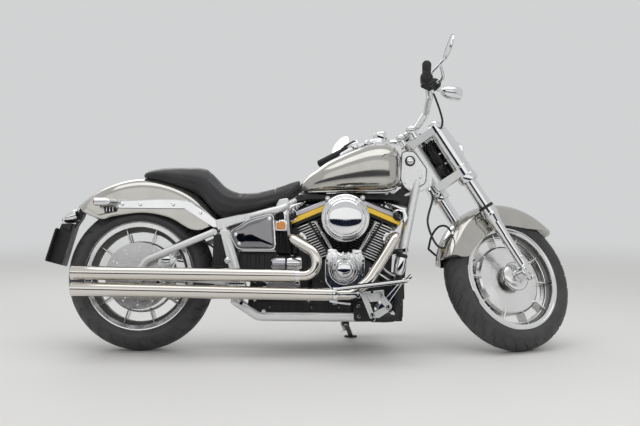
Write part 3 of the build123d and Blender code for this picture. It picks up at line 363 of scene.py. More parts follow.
class Piece:
    # one object in the making: shapes are added in mm, each in the look that was last chosen

    def __init__(self, name, body, place, *lookNames):
        self.name, self.body, self.place = name, body, place
        self.made = bmesh.new()
        self.lookNames = list(lookNames)
        self.index = 0

    def use(self, look):
        if look not in self.lookNames:
            self.lookNames.append(look)
        self.index = self.lookNames.index(look)
        return self

    def faces(self, points, polygons, at=Matrix()):
        corners = [self.made.verts.new(at @ Vector(point)) for point in points]
        for polygon in polygons:
            try:
                face = self.made.faces.new([corners[i] for i in polygon])
                face.material_index = self.index
            except ValueError:
                pass
        return corners

    def lathe(self, profile, at=Matrix(), steps=48, turn=360, start=0):
        # (along z, radius) pairs turned about z
        points, polygons, rings = [], [], []
        closed = turn == 360
        count = steps if closed else steps + 1
        for along, radius in profile:
            if radius < 0.001:
                rings.append([len(points)] * count)
                points.append((0, 0, along))
            else:
                rings.append(list(range(len(points), len(points) + count)))
                angles = [math.radians(start + turn * step / steps) for step in range(count)]
                points += [(radius * math.cos(angle), radius * math.sin(angle), along) for angle in angles]
        for low, high in zip(rings, rings[1:]):
            for step in range(steps):
                after = (step + 1) % count
                corners = []
                for corner in (low[step], low[after], high[after], high[step]):
                    if corner not in corners:
                        corners.append(corner)
                if len(corners) > 2:
                    polygons.append(corners)
        self.faces(points, polygons, at)
        return self

    def tube(self, points, radius, at=Matrix(), sides=14, steps=6, caps=True):
        # a pipe along a soft curve; radius is one number or one for each given point
        path = smoothPath(points, steps)
        radii = [radius] * len(path)
        if isinstance(radius, (list, tuple)):
            radii = []
            for index in range(len(path)):
                place = index / (len(path) - 1) * (len(radius) - 1)
                low = min(int(place), len(radius) - 2)
                radii.append(radius[low] + (radius[low + 1] - radius[low]) * (place - low))
        vertices, side = [], None
        for index, point in enumerate(path):
            ahead = path[min(index + 1, len(path) - 1)] - path[max(index - 1, 0)]
            ahead.normalize()
            if side is None:
                side = ahead.cross(Vector((0, 0, 1)) if abs(ahead.z) < 0.9 else Vector((1, 0, 0)))
            side = (side - ahead * side.dot(ahead)).normalized()
            up = ahead.cross(side)
            vertices += [point + side * spot.x + up * spot.y for spot in circle(radii[index], sides)]
        polygons = ringQuads(len(path), sides)
        if caps:
            polygons += [tuple(range(sides)), tuple(range((len(path) - 1) * sides, len(path) * sides))]
        self.faces(vertices, polygons, at)
        return self

    def slab(self, outline, low, high, at=Matrix(), rim=1.5, corner=0):
        # an (x, z) outline drawn out along y, its edges bevelled by rim
        outline = rounded(outline, corner) if corner else list(outline)
        low, high = sorted((low, high))
        area = sum(a[0] * b[1] - b[0] * a[1] for a, b in zip(outline, outline[1:] + outline[:1]))
        if area < 0:
            outline = outline[::-1]
        count = len(outline)
        inner = []
        for index, corner in enumerate(outline):
            before = (Vector(corner) - Vector(outline[index - 1])).normalized()
            after = (Vector(outline[(index + 1) % count]) - Vector(corner)).normalized()
            inward = Vector((-before.y - after.y, before.x + after.x))
            if inward.length < 0.001:
                inward = Vector((-before.y, before.x))
            inward.normalize()
            cosine = max(inward.dot(Vector((-before.y, before.x))), 0.4)
            inner.append(Vector(corner) + inward * rim / cosine)
        layers = ((low, inner), (low + rim, outline), (high - rim, outline), (high, inner))
        points = [(x, y, z) for y, layer in layers for x, z in layer]
        ends = [tuple(range(count)), tuple(range(3 * count, 4 * count))]
        self.faces(points, ends + ringQuads(4, count), at)
        return self

    def bolt(self, point, direction, radius=6.0, height=6.0, domed=True):
        # a cap screw with a washer, or a six-sided head
        at = aim(point, direction)
        if domed:
            self.lathe(((0, 0), (0, radius * 1.25), (1.2, radius * 1.25), (1.2, radius), (height * 0.7, radius),
                (height, radius * 0.7), (height, radius * 0.42), (height * 0.6, radius * 0.4),
                (height * 0.6, 0)), at, 14)
        else:
            self.lathe(((0, 0), (0, radius * 1.3), (1.2, radius * 1.3), (1.2, radius), (height * 0.85, radius),
                (height, radius * 0.85), (height, 0)), at, 6)
        return self

    def bolts(self, spots, y, side, radius, height):
        for x, z in spots:
            self.bolt((x, y, z), (0, side, 0), radius, height)
        return self

    def draw(self, rows, side=1):
        # rows of a look, a kind of shape and its values; side -1 mirrors them to the right
        for look, kind, *values in rows:
            self.use(look)
            if kind == "slab":                         # outline, y from and to, rim, corner
                outline, low, high, rim, corner = values
                self.slab(outline, side * low, side * high, rim=rim, corner=corner)
            elif kind == "bolts":                      # spots, y, radius, height
                spots, y, radius, height = values
                self.bolts(spots, side * y, side, radius, height)
            elif kind == "turned":                     # profile, place, direction, steps
                profile, point, way, steps = values
                self.lathe(profile, aim(sided(point, side), sided(way, side)), steps)
            else:                                      # points, radius, sides, steps
                points, radius, sides, steps = values
                self.tube([sided(point, side) for point in points], radius, sides=sides, steps=steps)
        return self

    def done(self, slotName, *replaced, sharp=38):
        bmesh.ops.recalc_face_normals(self.made, faces=self.made.faces)
        for face in self.made.faces:
            face.smooth = True
        limit = math.radians(sharp)
        for edge in self.made.edges:
            edge.smooth = not (len(edge.link_faces) == 2 and edge.calc_face_angle(0) > limit)
        self.made.transform(self.place)
        mesh = bpy.data.meshes.new(self.name)
        self.made.to_mesh(mesh)
        self.made.free()
        for look in self.lookNames:
            mesh.materials.append(materials[look])
        thing = newObject(self.name, mesh)
        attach(thing, self.body)
        if replaced:
            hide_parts(*replaced)
        return thing


# tyres: a closed ring whose tread is cut by curved grooves
tyres = {"rear": {"radius": 324, "width": 200, "rim": 152, "pitches": 30, "groove": 4.5},
    "front": {"radius": 321, "width": 140, "rim": 96, "pitches": 34, "groove": 4.0}, "rimRadius": 240,
    "flange": 16, "flangeWide": 7, "gap": 0.3, "wall": 14, "crownAngle": 65, "grooveWidth": 3.4, "around": 680,
    "across": 60}


def makeTyre(which, body, place, node):
    tyre = tyres[which]
    crown = tyre["width"] / 2
    ring = tyre["radius"] - crown
    reach = math.radians(tyres["crownAngle"])
    edge = (crown * math.sin(reach), ring + crown * math.cos(reach))
    lip = tyres["rimRadius"] + 4 * tyres["gap"]
    beadRadius = tyres["rimRadius"] - tyres["flange"] + tyres["gap"]
    beadSide = tyre["rim"] / 2 - tyres["flangeWide"] - tyres["gap"]
    outer = []
    for step in range(6):                       # sidewall, from the rim to the crown's edge
        t = step / 6
        bulge = 1.5 * math.sin(math.pi * t)
        outer.append((tyre["rim"] / 2 * (1 - t) + edge[0] * t + bulge * 2, lip * (1 - t) + edge[1] * t, None))
    for step in range(tyres["across"] + 1):
        angle = reach * (1 - 2 * step / tyres["across"])
        outer.append((crown * math.sin(angle), ring + crown * math.cos(angle), crown * angle))
    for y, z, _ in reversed(outer[:6]):
        outer.append((-y, z, None))
    inner = [(-beadSide, lip), (-beadSide, beadRadius), (-beadSide + tyres["wall"], beadRadius)]
    for step in range(9):
        angle = reach * (2 * step / 8 - 1) * 0.98
        inner.append(((crown - tyres["wall"]) * math.sin(angle),
            ring + (crown - tyres["wall"]) * math.cos(angle)))
    inner += [(beadSide - tyres["wall"], beadRadius), (beadSide, beadRadius), (beadSide, lip)]
    profile = outer + [(y, z, None) for y, z in inner]
    around, pitches = tyres["around"], tyre["pitches"]
    circumference = 2 * math.pi * tyre["radius"]
    pitch = circumference / pitches
    points, polygons = [], []
    for step in range(around):
        angle = 2 * math.pi * step / around
        along = circumference * step / around
        for y, z, arc in profile:
            cut = 0.0
            if arc is not None:
                out = abs(arc) / (crown * reach)
                shift = 0.5 * pitch if arc > 0 else 0.0
                for lean, low, high, offset in ((0.9, 0.08, 0.62, 0.0), (0.55, 0.40, 0.88, 0.42)):
                    centre = lean * abs(arc) * (1 - 0.35 * out) + shift + offset * pitch
                    away = (along - centre) % pitch
                    away = min(away, pitch - away) / math.hypot(1, lean)
                    fade = min(max((out - low) / 0.05, 0), 1) * min(max((high - out) / 0.05, 0), 1)
                    wall = min(max((tyres["grooveWidth"] + 1 - away) / 1.6, 0), 1)
                    cut = max(cut, tyre["groove"] * wall * fade)
            points.append(((z - cut) * math.sin(angle), y, (z - cut) * math.cos(angle)))
    rows = len(profile)
    for step in range(around):
        after = (step + 1) % around
        for row in range(rows):
            beyond = (row + 1) % rows
            polygons.append((step * rows + row, after * rows + row, after * rows + beyond,
                step * rows + beyond))
    piece = Piece(which + "TyreTread", body, place, "tyre")
    piece.faces(points, polygons)
    piece.done("tyre", node, sharp=30)


makeTyre("rear", "rear_wheel", rearWheel, "rear_tyre")
makeTyre("front", "front_wheel", frontWheel, "front_tyre")
print("tyres cut")


# fenders' sizes; the seat rests on the rear one
fenders = {"wall": 3.4, "lip": 3.0, "along": 110, "across": 20,
    "rear": {"centre": (16, 352), "radius": 412, "half": 124, "crown": 56,
    "edge": ((363, 575), (326, 551), (303, 536), (268, 525), (229, 529), (194, 547), (164, 566), (128, 582),
    (81, 594), (34, 600), (-13, 599), (-60, 593), (-118, 583), (-164, 571), (-230, 594), (-284, 630))},
    "front": {"centre": (1637, 321), "radius": 356, "half": 80, "crown": 44,
    "edge": ((1899, 562), (1863, 564), (1787, 558), (1697, 558), (1598, 556), (1527, 520), (1471, 471),
    (1433, 429), (1387, 388), (1327, 380), (1287, 384))}}


# seat: a leather pad whose sections follow these stations, with sewn channels
seatShape = {
    # x, top at the middle, underside, half width, crown
    "stations": ((6, 782, 762, 66, 10), (22, 795, 754, 84, 14), (60, 804, 743, 104, 18),
                 (120, 809, 724, 114, 20), (190, 809, 704, 117, 20), (250, 808, 684, 120, 20),
                 (292, 795, 640, 132, 20), (330, 758, 596, 146, 18), (372, 716, 580, 158, 16),
                 (430, 692, 590, 163, 14), (500, 692, 606, 150, 14), (560, 706, 624, 122, 14),
                 (620, 727, 644, 94, 14), (650, 739, 660, 74, 12), (676, 751, 678, 54, 10),
                 (692, 759, 694, 42, 8), (701, 763, 716, 33, 5)),
    "seams": (304, 588), "seamReach": 14, "seamDepth": 0.0035, "ring": 40, "steps": 5}
seatCloth = {"voxel": 0.006, "pressure": 4.0, "frames": 20, "cap": 0.006, "tension": 20, "bending": 2,
             "mass": 0.3}


def seatSection(station):
    x, top, low, half, crown = station
    ring = seatShape["ring"]
    points = []
    for step in range(ring):
        angle = 2 * math.pi * step / ring
        across, up = math.cos(angle), math.sin(angle)
        wide = math.copysign(abs(across) ** 0.55, across) * half
        if up >= 0:
            shoulder = top - crown * (abs(wide) / half) ** 2.4
            z = (top + low) / 2 + (shoulder - (top + low) / 2) * up ** 0.5
        else:
            z = (top + low) / 2 - ((top - low) / 2) * abs(up) ** 0.6
        points.append((x, wide, z))
    return points


def seatFloor(x, y):
    # the rear fender's crown under the seat
    shape = fenders["rear"]
    (middle, axle), half, crown = shape["centre"], shape["half"], shape["crown"]
    reach = shape["radius"] ** 2 - (x - middle) ** 2
    top = axle + math.sqrt(reach) if reach > 0 else 0
    return top - crown * (1 - math.sqrt(1 - (min(abs(y), half - 1) / half) ** 2))


def evaluatedMesh(thing):
    return bpy.data.meshes.new_from_object(thing.evaluated_get(bpy.context.evaluated_depsgraph_get()))


def swollen(seat):
    # the cover swells over its foam as cloth under pressure, held along the underside
    remesh = seat.modifiers.new("remesh", "REMESH")
    remesh.mode = "VOXEL"
    remesh.voxel_size = seatCloth["voxel"]
    rest = evaluatedMesh(seat)
    seat.modifiers.clear()
    cover = newObject("seatCloth", rest)
    held = cover.vertex_groups.new(name="underside")
    held.add([vertex.index for vertex in rest.vertices if vertex.normal.z < -0.25], 1.0, "REPLACE")
    before = [vertex.co.copy() for vertex in rest.vertices]
    cloth = cover.modifiers.new("swell", "CLOTH")
    settings = cloth.settings
    settings.mass = seatCloth["mass"]
    settings.tension_stiffness = settings.compression_stiffness = seatCloth["tension"]
    settings.bending_stiffness = seatCloth["bending"]
    settings.use_pressure = True
    settings.uniform_pressure_force = seatCloth["pressure"]
    settings.vertex_group_mass = "underside"
    settings.effector_weights.gravity = 0
    cloth.point_cache.frame_start, cloth.point_cache.frame_end = 1, seatCloth["frames"]
    for frameNumber in range(1, seatCloth["frames"] + 1):
        bpy.context.scene.frame_set(frameNumber)
    moved = evaluatedMesh(cover)
    for vertex, start in zip(moved.vertices, before):
        move = vertex.co - start
        if move.length > seatCloth["cap"]:
            vertex.co = start + move * (seatCloth["cap"] / move.length)
    cover.modifiers.clear()
    cover.data = moved
    cover.modifiers.new("smoother", "SUBSURF").levels = 1
    smooth = evaluatedMesh(cover)
    bpy.data.objects.remove(cover)
    bpy.context.scene.frame_set(1)
    return smooth


def makeSeat():
    stations, rings = seatShape["stations"], []
    for index in range(len(stations) - 1):
        for step in range(seatShape["steps"]):
            t = step / seatShape["steps"]
            before = stations[max(index - 1, 0)]
            after = stations[min(index + 2, len(stations) - 1)]
            rings.append(seatSection([softly(*four, t) for four in zip(before, *stations[index:index + 2],
                after)]))
    rings.append(seatSection(stations[-1]))
    points = [(x, y, max(z, seatFloor(x, y) + 1.0)) for ring in rings for x, y, z in ring]
    count, total = seatShape["ring"], len(points)
    ends = [tuple(range(count)), tuple(range(total - count, total))]
    piece = Piece("seatLeather", "frame", bike, "black_leather")
    piece.faces(points, ringQuads(len(rings), count) + ends)
    seat = piece.done("black_leather", "seat", sharp=180)
    seat.data = swollen(seat)
    seat.data.materials.clear()
    seat.data.materials.append(materials["black_leather"])
    toBike = bike.inverted()
    for vertex in seat.data.vertices:                    # sewn channels press into the top
        x = (toBike @ vertex.co).x
        for seam in seatShape["seams"]:
            away = abs(x - seam)
            if vertex.normal.z > 0.2 and away < seatShape["seamReach"]:
                vertex.co.z -= seatShape["seamDepth"] * (1 - away / seatShape["seamReach"]) ** 2
    for polygon in seat.data.polygons:
        polygon.use_smooth = True


makeSeat()
print("seat stitched")


# engine: finned cylinders with their ports, plugs and covers
engine = {"crank": (900, 245), "vee": 22.5, "deck": 180, "head": 362, "fins": 14, "finThick": 5.2,
          "finWide": 172, "finLong": 164, "finShorter": 2, "finCorner": 28, "barrel": 58, "port": 325,
          "intakeHeight": 560, "intakeHalf": 33, "intakeRadius": 22, "gap": 0.3}


def bank(sign):
    # z runs up one cylinder's axis and x ahead of it; sign is 1 for the front cylinder
    return Matrix.Translation((engine["crank"][0], 0, engine["crank"][1])) @ turned("Y", sign * engine["vee"])


def makeCylinders():
    piece = Piece("finnedCylinders", "frame", bike, "black_fins", "finRimAndHighlight", "chrome")
    pitch = (engine["head"] - engine["deck"]) / (engine["fins"] + 1)
    for sign in (-1, 1):
        place = bank(sign)
        piece.use("black_fins").lathe(((engine["deck"] + engine["gap"], 0),
            (engine["deck"] + engine["gap"], engine["barrel"]),
            (engine["head"] - engine["gap"], engine["barrel"]), (engine["head"] - engine["gap"], 0)), place, 40)
        for fin in range(1, engine["fins"] + 1):
            half = (engine["finLong"] - (engine["fins"] - fin) * engine["finShorter"]) / 2
            wide = engine["finWide"] / 2
            outline = [(-half, -wide), (0, -wide), (half, -wide), (half, wide), (0, wide), (-half, wide)]
            low = engine["deck"] + fin * pitch - engine["finThick"] / 2
            lay = place @ Matrix.Translation((0, 0, low)) @ turned("X", 90)
            first = len(piece.made.faces)
            piece.slab(outline, 0, engine["finThick"], lay, 0.6, engine["finCorner"])
            piece.made.faces.ensure_lookup_table()
            toBank = place.inverted()
            for face in piece.made.faces[first:]:
                middle = toBank @ face.calc_center_median()
                flat = abs((toBank.to_3x3() @ face.normal).normalized().z)
                if flat < 0.5 and (middle.x * sign > 4 or middle.y > 0) and abs(middle.y) > 40:
                    face.material_index = 1                    # the machined rim of the fin, pale on the left and on the right only on the outer half, where the highlights fall: partly painted highlight
        head = place @ Vector((0, 0, engine["port"]))
        piece.use("black_fins").tube(((head.x, 0, engine["intakeHeight"]),
            (engine["crank"][0] + sign * engine["intakeHalf"], 0, engine["intakeHeight"])),
            engine["intakeRadius"], steps=1, sides=24)
        plug = place @ Vector((sign * 46, 84, 322))            # plug, boot and lead on the left
        piece.use("chrome").bolt(plug, (0, 1, 0.2), 8, 10, False)
        piece.use("black_fins").tube((plug + Vector((0, 8, 2)), plug + Vector((0, 26, 6))), 8, steps=1)
        piece.use("black_fins").tube((plug + Vector((0, 22, 6)), plug + Vector((-sign * 10, 44, 40)),
            plug + Vector((-sign * 50, 30, 100)), plug + Vector((-sign * 90, 10, 118))), 3.6, sides=8)
    piece.done("black_fins", "cylinders")


rocker = {"blackLow": 362.3, "bandLow": 376, "bandHigh": 397, "coverHigh": 420, "topHigh": 431, "half": 95,
    "outer": 107, "eye": (84, 412), "eyeRadius": 22}


def makeRockers():
    bands = Piece("rockerBandTrim", "frame", bike, "yellow_paint", "black_fins")
    covers = Piece("rockerCoverTrim", "frame", bike, "engine_silver", "black_fins", "chrome", "darkHole")
    half, outer = rocker["half"], rocker["outer"]

    def layer(piece, look, low, high, shrink, rim):
        edges = sorted((-sign * (half - shrink), sign * (outer - shrink)))
        wide = half - shrink
        outline = box(edges[0], -wide, edges[1], wide)
        lay = place @ Matrix.Translation((0, 0, low)) @ turned("X", 90)
        piece.use(look).slab(outline, 0, high - low, lay, rim, 22)

    for sign in (-1, 1):
        place = bank(sign)
        layer(bands, "black_fins", rocker["blackLow"], rocker["bandLow"], 8, 2)
        layer(bands, "yellow_paint", rocker["bandLow"], rocker["bandHigh"], 0, 2)
        layer(covers, "engine_silver", rocker["bandHigh"] + 0.3, rocker["coverHigh"], 6, 4)
        layer(covers, "black_fins", rocker["coverHigh"], rocker["topHigh"], 26, 3)
        x, z = rocker["eye"]
        eye = aim(place @ Vector((sign * x, -half - 5, z)), (0, -1, 0))
        # the eye's dark face is painted shade of its hollow, ringed in chrome
        covers.use("darkHole").lathe(((-10, 0), (-10, rocker["eyeRadius"]), (2, rocker["eyeRadius"]),
            (3, rocker["eyeRadius"] - 2), (3, 0)), eye, 36)
        covers.use("chrome").lathe(((-10, 22), (4, 22), (6, 24), (4, 28), (-10, 28)), eye, 30, 215,
            20 if sign > 0 else -55)
        for along in (-60, 0, 60):
            covers.bolt(place @ Vector((along, -60, rocker["topHigh"] - 1)), place.to_3x3() @ Vector((0, 0, 1)),
                6, 7)
        spot = [(1071, 655), (1167, 630), (1178, 584), (1160, 556), (1150, 618), (1095, 642)]
        covers.slab([(x if sign > 0 else 1800 - x, z) for x, z in spot], -104, -92, rim=3, corner=6)
    bands.done("yellow_paint", "rocker_bands")
    covers.done("engine_silver", "rocker_covers")


airCleaner = {"centre": (900, -198, 570), "radius": 103, "profile": ((0, 0), (0, 86), (3, 95), (7, 100.5),
    (12, 103), (24, 103), (28, 101), (31, 96), (29.5, 92.5), (31, 90), (38, 88), (43, 84), (45, 80), (43.6, 78),
    (43.6, 76.5), (46, 75.5), (49, 72), (52.4, 64), (55.6, 54), (58.2, 42), (60, 30), (61, 16), (61.4, 0))}


def makeAirCleaner():
    piece = Piece("airCleanerBowl", "frame", bike, "chrome", "darkHole")
    at = aim(airCleaner["centre"], (0, -1, 0))
    piece.lathe(airCleaner["profile"], at, 96)
    back = airCleaner["centre"]
    # a dark disc behind the bowl: painted shade
    piece.use("darkHole").lathe(((-12, 0), (-12, 70), (-2, 84), (0, 84)), at, 60)
    piece.use("chrome").tube(((back[0], back[1] + 2, 574), (back[0], 0, 574)), 24, sides=28)
    half = engine["intakeHalf"] - engine["gap"]
    piece.tube(((back[0] - half, 0, engine["intakeHeight"]), (back[0] + half, 0, engine["intakeHeight"])),
        engine["intakeRadius"], steps=1, sides=28)
    piece.done("chrome", "air_cleaner")


camCover = {"outline": ((815, 300), (850, 258), (960, 258), (985, 300), (985, 405), (970, 425), (830, 425),
    (815, 405)), "inner": -105.3, "outer": -165, "centre": (896, 353), "screws": 10, "screwRing": 59}


def makeCamCover():
    piece = Piece("camCoverDome", "frame", bike, "chrome", "engine_silver", "black_fins")
    piece.slab(camCover["outline"], camCover["outer"], camCover["inner"], rim=5, corner=16)
    at = aim((camCover["centre"][0], camCover["outer"] + 1, camCover["centre"][1]), (0, -1, 0))
    piece.lathe(((0, 66), (4, 66), (8, 62), (8, 56), (3, 53), (3, 50), (12, 48), (19, 43), (21, 39), (17, 36),
        (17, 34), (21, 32), (25, 26), (27, 14), (27.4, 0)), at, 72)
    for spot in circle(camCover["screwRing"], camCover["screws"], 7, 0.5):
        piece.bolt(at @ spot, (0, -1, 0), 3.6, 4.5)
    for index in range(6):                         # ribs fanning up over the cams
        x = 838 + 24 * index
        piece.slab(box(x, 398, x + 9, 428), -172, -160, rim=2)
    for x in (822, 978):
        piece.use("black_fins").slab(box(x - 4, 316, x + 4, 396), -167, -160, rim=1)
    for middle in (846, 952):                      # lifter blocks over the cams
        piece.use("chrome").slab([(middle - 24, 422), (middle + 24, 422), (middle + 18, 440),
            (middle - 18, 440)], -158, -110, rim=3, corner=5)
        for x in (middle - 14, middle + 14):
            piece.bolt((x, -156, 428), (0, -1, 0.15), 4, 6)
    piece.bolts(((822, 330), (822, 380), (978, 330), (978, 380), (862, 264), (948, 264)), camCover["outer"] + 1,
        -1, 4.5, 6)
    piece.done("chrome", "cam_cover")


pushrods = {"tubes": ((770, 849, "chrome", 1.0), (1036, 962, "chrome", 1.0), (742, 828, "black_fins", 0.8),
    (1062, 980, "black_fins", 0.8)), "y": -134, "foot": 430.5, "top": 563}


def makePushrods():
    piece = Piece("pushrodCovers", "frame", bike, "chrome", "black_fins")
    for topX, footX, look, scale in pushrods["tubes"]:
        low = Vector((footX, pushrods["y"], pushrods["foot"]))
        high = Vector((topX, pushrods["y"], pushrods["top"]))
        length = (high - low).length
        profile = ((0, 0), (0, 8), (2, 10), (8, 10), (10, 7.4), (length * 0.55, 7.4), (length * 0.57, 8.6),
            (length * 0.62, 8.6), (length * 0.64, 5.6), (length - 14, 5.6), (length - 10, 8), (length, 8),
            (length, 0))
        piece.use(look).lathe([(along, radius * scale) for along, radius in profile], aim(low, high - low), 24)
    piece.done("chrome", "pushrod_tubes")


bay = {"dark": (
    # x, z outline, y from, y to
    (((700, 692), (1104, 692), (1040, 560), (965, 440), (835, 440), (765, 560)), -36, 30),
    (((600, 424), (664, 424), (668, 560), (650, 620), (596, 606)), -96, 60),
    (((1117, 698), (1153, 728), (1204, 714), (1194, 644), (1091, 655)), -34, 34),
    (((640, 640), (700, 690), (1130, 694), (1150, 660), (1060, 668), (740, 668)), -70, 60),
    (box(738, 166, 792, 420), -100, 80),
    (((650, 428), (770, 428), (706, 566), (650, 606)), -62, 60),
    (((1004, 300), (1104, 300), (1112, 430), (1086, 520), (1044, 480)), -60, 60),
    (box(696, 376, 748, 446), -92, 60),
    (box(440, 350, 604, 432), -118, -40),
    (box(500, 168, 930, 214), -122, -96))}


bayTrim = (
    ("engine_silver", "slab", ((640, 594), (655, 594), (664, 498), (650, 498)), 134, 124, 2, 3),
    ("chrome", "slab", box(596, 520, 648, 564), 140, 128, 3, 6),
    ("amberGlass", "slab", box(602, 526, 642, 557), 145, 139, 2, 4),
    ("chrome", "bolts", ((825, 673), (980, 677), (655, 652)), 70, 8, 9),
    *(("black_rubber", "tube", ((x, 104, z), (x + 8, 112, (z + low) / 2), (end, 104, low)), 5.5, 10, 6)
      for x, z, end, low in ((612, 610, 616, 430), (628, 600, 634, 430), (646, 490, 640, 428))),
    *(("black_plastic", "slab", box(x, 172, x + 30, 208), 128, 120, 2, 3) for x in range(540, 901, 60)),
    *(("black_plastic", "slab", box(x, 358, x + 24, 424), 123, 117, 2, 3) for x in range(452, 567, 38)),
    ("chrome", "bolts", ((577, 190), (757, 190), (877, 190)), 128, 4, 4))


def makeBay():
    # coils, wiring and the dark castings that fill the space round the cylinders
    piece = Piece("engineBay", "frame", bike, "black_plastic", "chrome", "engine_silver", "black_rubber",
        "amberGlass")
    for outline, low, high in bay["dark"]:
        piece.use("black_plastic").slab(outline, low, high, rim=3, corner=8)
    piece.draw(bayTrim, -1)
    piece.done("black_fins")


starter = {"left": 585, "right": 712, "y": -127, "z": 378}


def makeStarter():
    piece = Piece("starterMotor", "frame", bike, "engine_silver", "chrome", "black_fins")
    left, right, y, z = starter.values()
    long = right - left
    at = aim((left - 1, y, z), (1, 0, 0))
    piece.lathe(((0, 0), (0, 26), (3, 30.4), (58, 30.6), (60, 28), (64, 28), (66, 31), (long - 6, 31.4),
        (long + 2, 28), (long + 2, 0)), at, 40)
    piece.use("chrome").lathe(((66, 31.6), (68, 33), (long - 4, 33), (long + 3, 29), (long + 3, 12)), at, 40)
    for rise in (-13.2, 13.2):
        piece.bolt((left + 3, y - 22, z + rise), (-1, 0, 0), 4, 6, False)
    piece.tube(((600, y - 20, 352), (640, y - 30, 344), (700, y - 26, 350)), 3.5, sides=8)
    piece.done("engine_silver")


engineTrim = (
    *(("black_fins", "slab", box(786, z, 1040, z + 5), 110, 104, 1.2, 0) for z in range(195, 296, 20)),
    ("chrome", "bolts", ((800, 200), (800, 300), (1020, 210), (1036, 290), (1010, 360), (790, 370)), 105, 5, 6),
    ("chrome", "bolts", ((510, 220), (510, 300), (510, 395), (600, 400), (690, 400), (745, 330), (745, 220),
                         (620, 205)), 100, 5, 6),
    ("engine_silver", "slab", ((560, 230), (700, 230), (715, 250), (700, 335), (560, 335), (545, 320)), 112, 99,
     4, 12),
    ("chrome", "bolts", ((560, 245), (560, 322), (630, 328), (700, 322), (700, 245), (630, 240)), 111, 4, 5))
rearFilter = {"centre": (1052, -30, 318), "way": (1, -0.25, -0.12), "grips": 15,
              "profile": ((-30, 0), (-30, 30), (0, 32), (0, 36), (4, 38), (62, 38), (72, 34), (76, 26),
                          (76, 0))}


def makeEngineTrim():
    piece = Piece("engineTrim", "frame", bike, "black_fins", "chrome", "engine_silver")
    piece.draw(engineTrim, -1)
    at = aim(rearFilter["centre"], rearFilter["way"])
    piece.use("black_fins").lathe(rearFilter["profile"], at, 40)
    for foot, top in zip(circle(36.5, rearFilter["grips"], 48), circle(36.5, rearFilter["grips"], 68)):
        piece.tube((at @ foot, at @ top), 2.4, sides=6)
    piece.done("black_fins")


makeCylinders()
makeRockers()
makeAirCleaner()
makeCamCover()
makePushrods()
makeBay()
makeStarter()
makeEngineTrim()
print("engine dressed")


# exhausts: bent headers, clamps, link brackets and open mufflers
exhaust = {"pipe": 22, "wall": 3.4, "boreDepth": 250, "upper": ((708, -80, 488), (668, -178, 484),
    (778, -240, 415), (778, -240, 320), (690.3, -240, 320)),
    "lower": ((1094, -80, 490), (1123, -180, 497), (1000, -240, 300), (930, -240, 242), (850.3, -240, 242)),
    "upperBends": (24, 54, 56), "lowerBends": (24, 80, 60),
    "mufflers": (((690, -240, 320), (-258, -240, 327)), ((850, -240, 242), (-256, -240, 259))),
    "radii": (27, 29.5)}


def bentPath(points, radii, steps=9):
    # straight runs joined by arcs
    points = [Vector(point) for point in points]
    path = [points[0]]
    for a, b, c, radius in zip(points, points[1:], points[2:], radii):
        before, after = (a - b).normalized(), (c - b).normalized()
        angle = before.angle(after)
        centre = b + (before + after).normalized() * (radius / math.sin(angle / 2))
        u = b + before * (radius / math.tan(angle / 2)) - centre
        v = b + after * (radius / math.tan(angle / 2)) - centre
        sweep = u.angle(v)
        for step in range(steps + 1):
            t = step / steps
            path.append(centre + (u * math.sin((1 - t) * sweep) + v * math.sin(t * sweep)) / math.sin(sweep))
    return path + [points[-1]]


def clampBand(piece, point, direction, radius, width=20.0):
    # a band with a tightening bolt at its back
    at = aim(point, direction)
    half = width / 2
    piece.lathe(((-half, radius), (-half, radius + 2.4), (-half + 2, radius + 3.4), (half - 2, radius + 3.4),
        (half, radius + 2.4), (half, radius)), at, 48)
    ear = Vector(point) - Vector((0, 0, radius + 6))
    piece.slab(box(-half, -8, half, 4), -6, 6, Matrix.Translation(ear), 1.5)
    piece.bolt(ear + Vector((0, -6, -2)), (0, -1, 0), 4.2, 6, False)


def makeHeaders():
    piece = Piece("exhaustHeaders", "frame", bike, "pipe_chrome", "chrome")
    for name in ("upper", "lower"):
        path = bentPath(exhaust[name], exhaust[name + "Bends"])
        piece.use("pipe_chrome").tube(path, exhaust["pipe"], sides=36, steps=1)
        start = path[0]
        piece.use("chrome").lathe(((0, 23), (0, 28), (3, 30), (8, 30), (11, 26), (11, 22)),
            aim(start, path[1] - start), 40)
        clampBand(piece, path[-1] + Vector((8, 0, 0)), (1, 0, 0), exhaust["pipe"] + 0.4, 18)
    clampBand(piece, Vector((856, -240, 242)), (1, 0, 0), 27.4, 16)
    piece.slab([(868, 238), (868, 245), (958, 250), (964, 244), (960, 226), (952, 226), (940, 238)], -266, -259,
        rim=1.6, corner=3)
    piece.tube(((834, -266, 213), (880, -266, 206), (921, -264, 202)), 4.2, sides=10, steps=3)
    piece.bolts(((874, 242), (952, 243)), -266, -1, 4.5, 5)
    piece.done("pipe_chrome", "exhaust_headers")


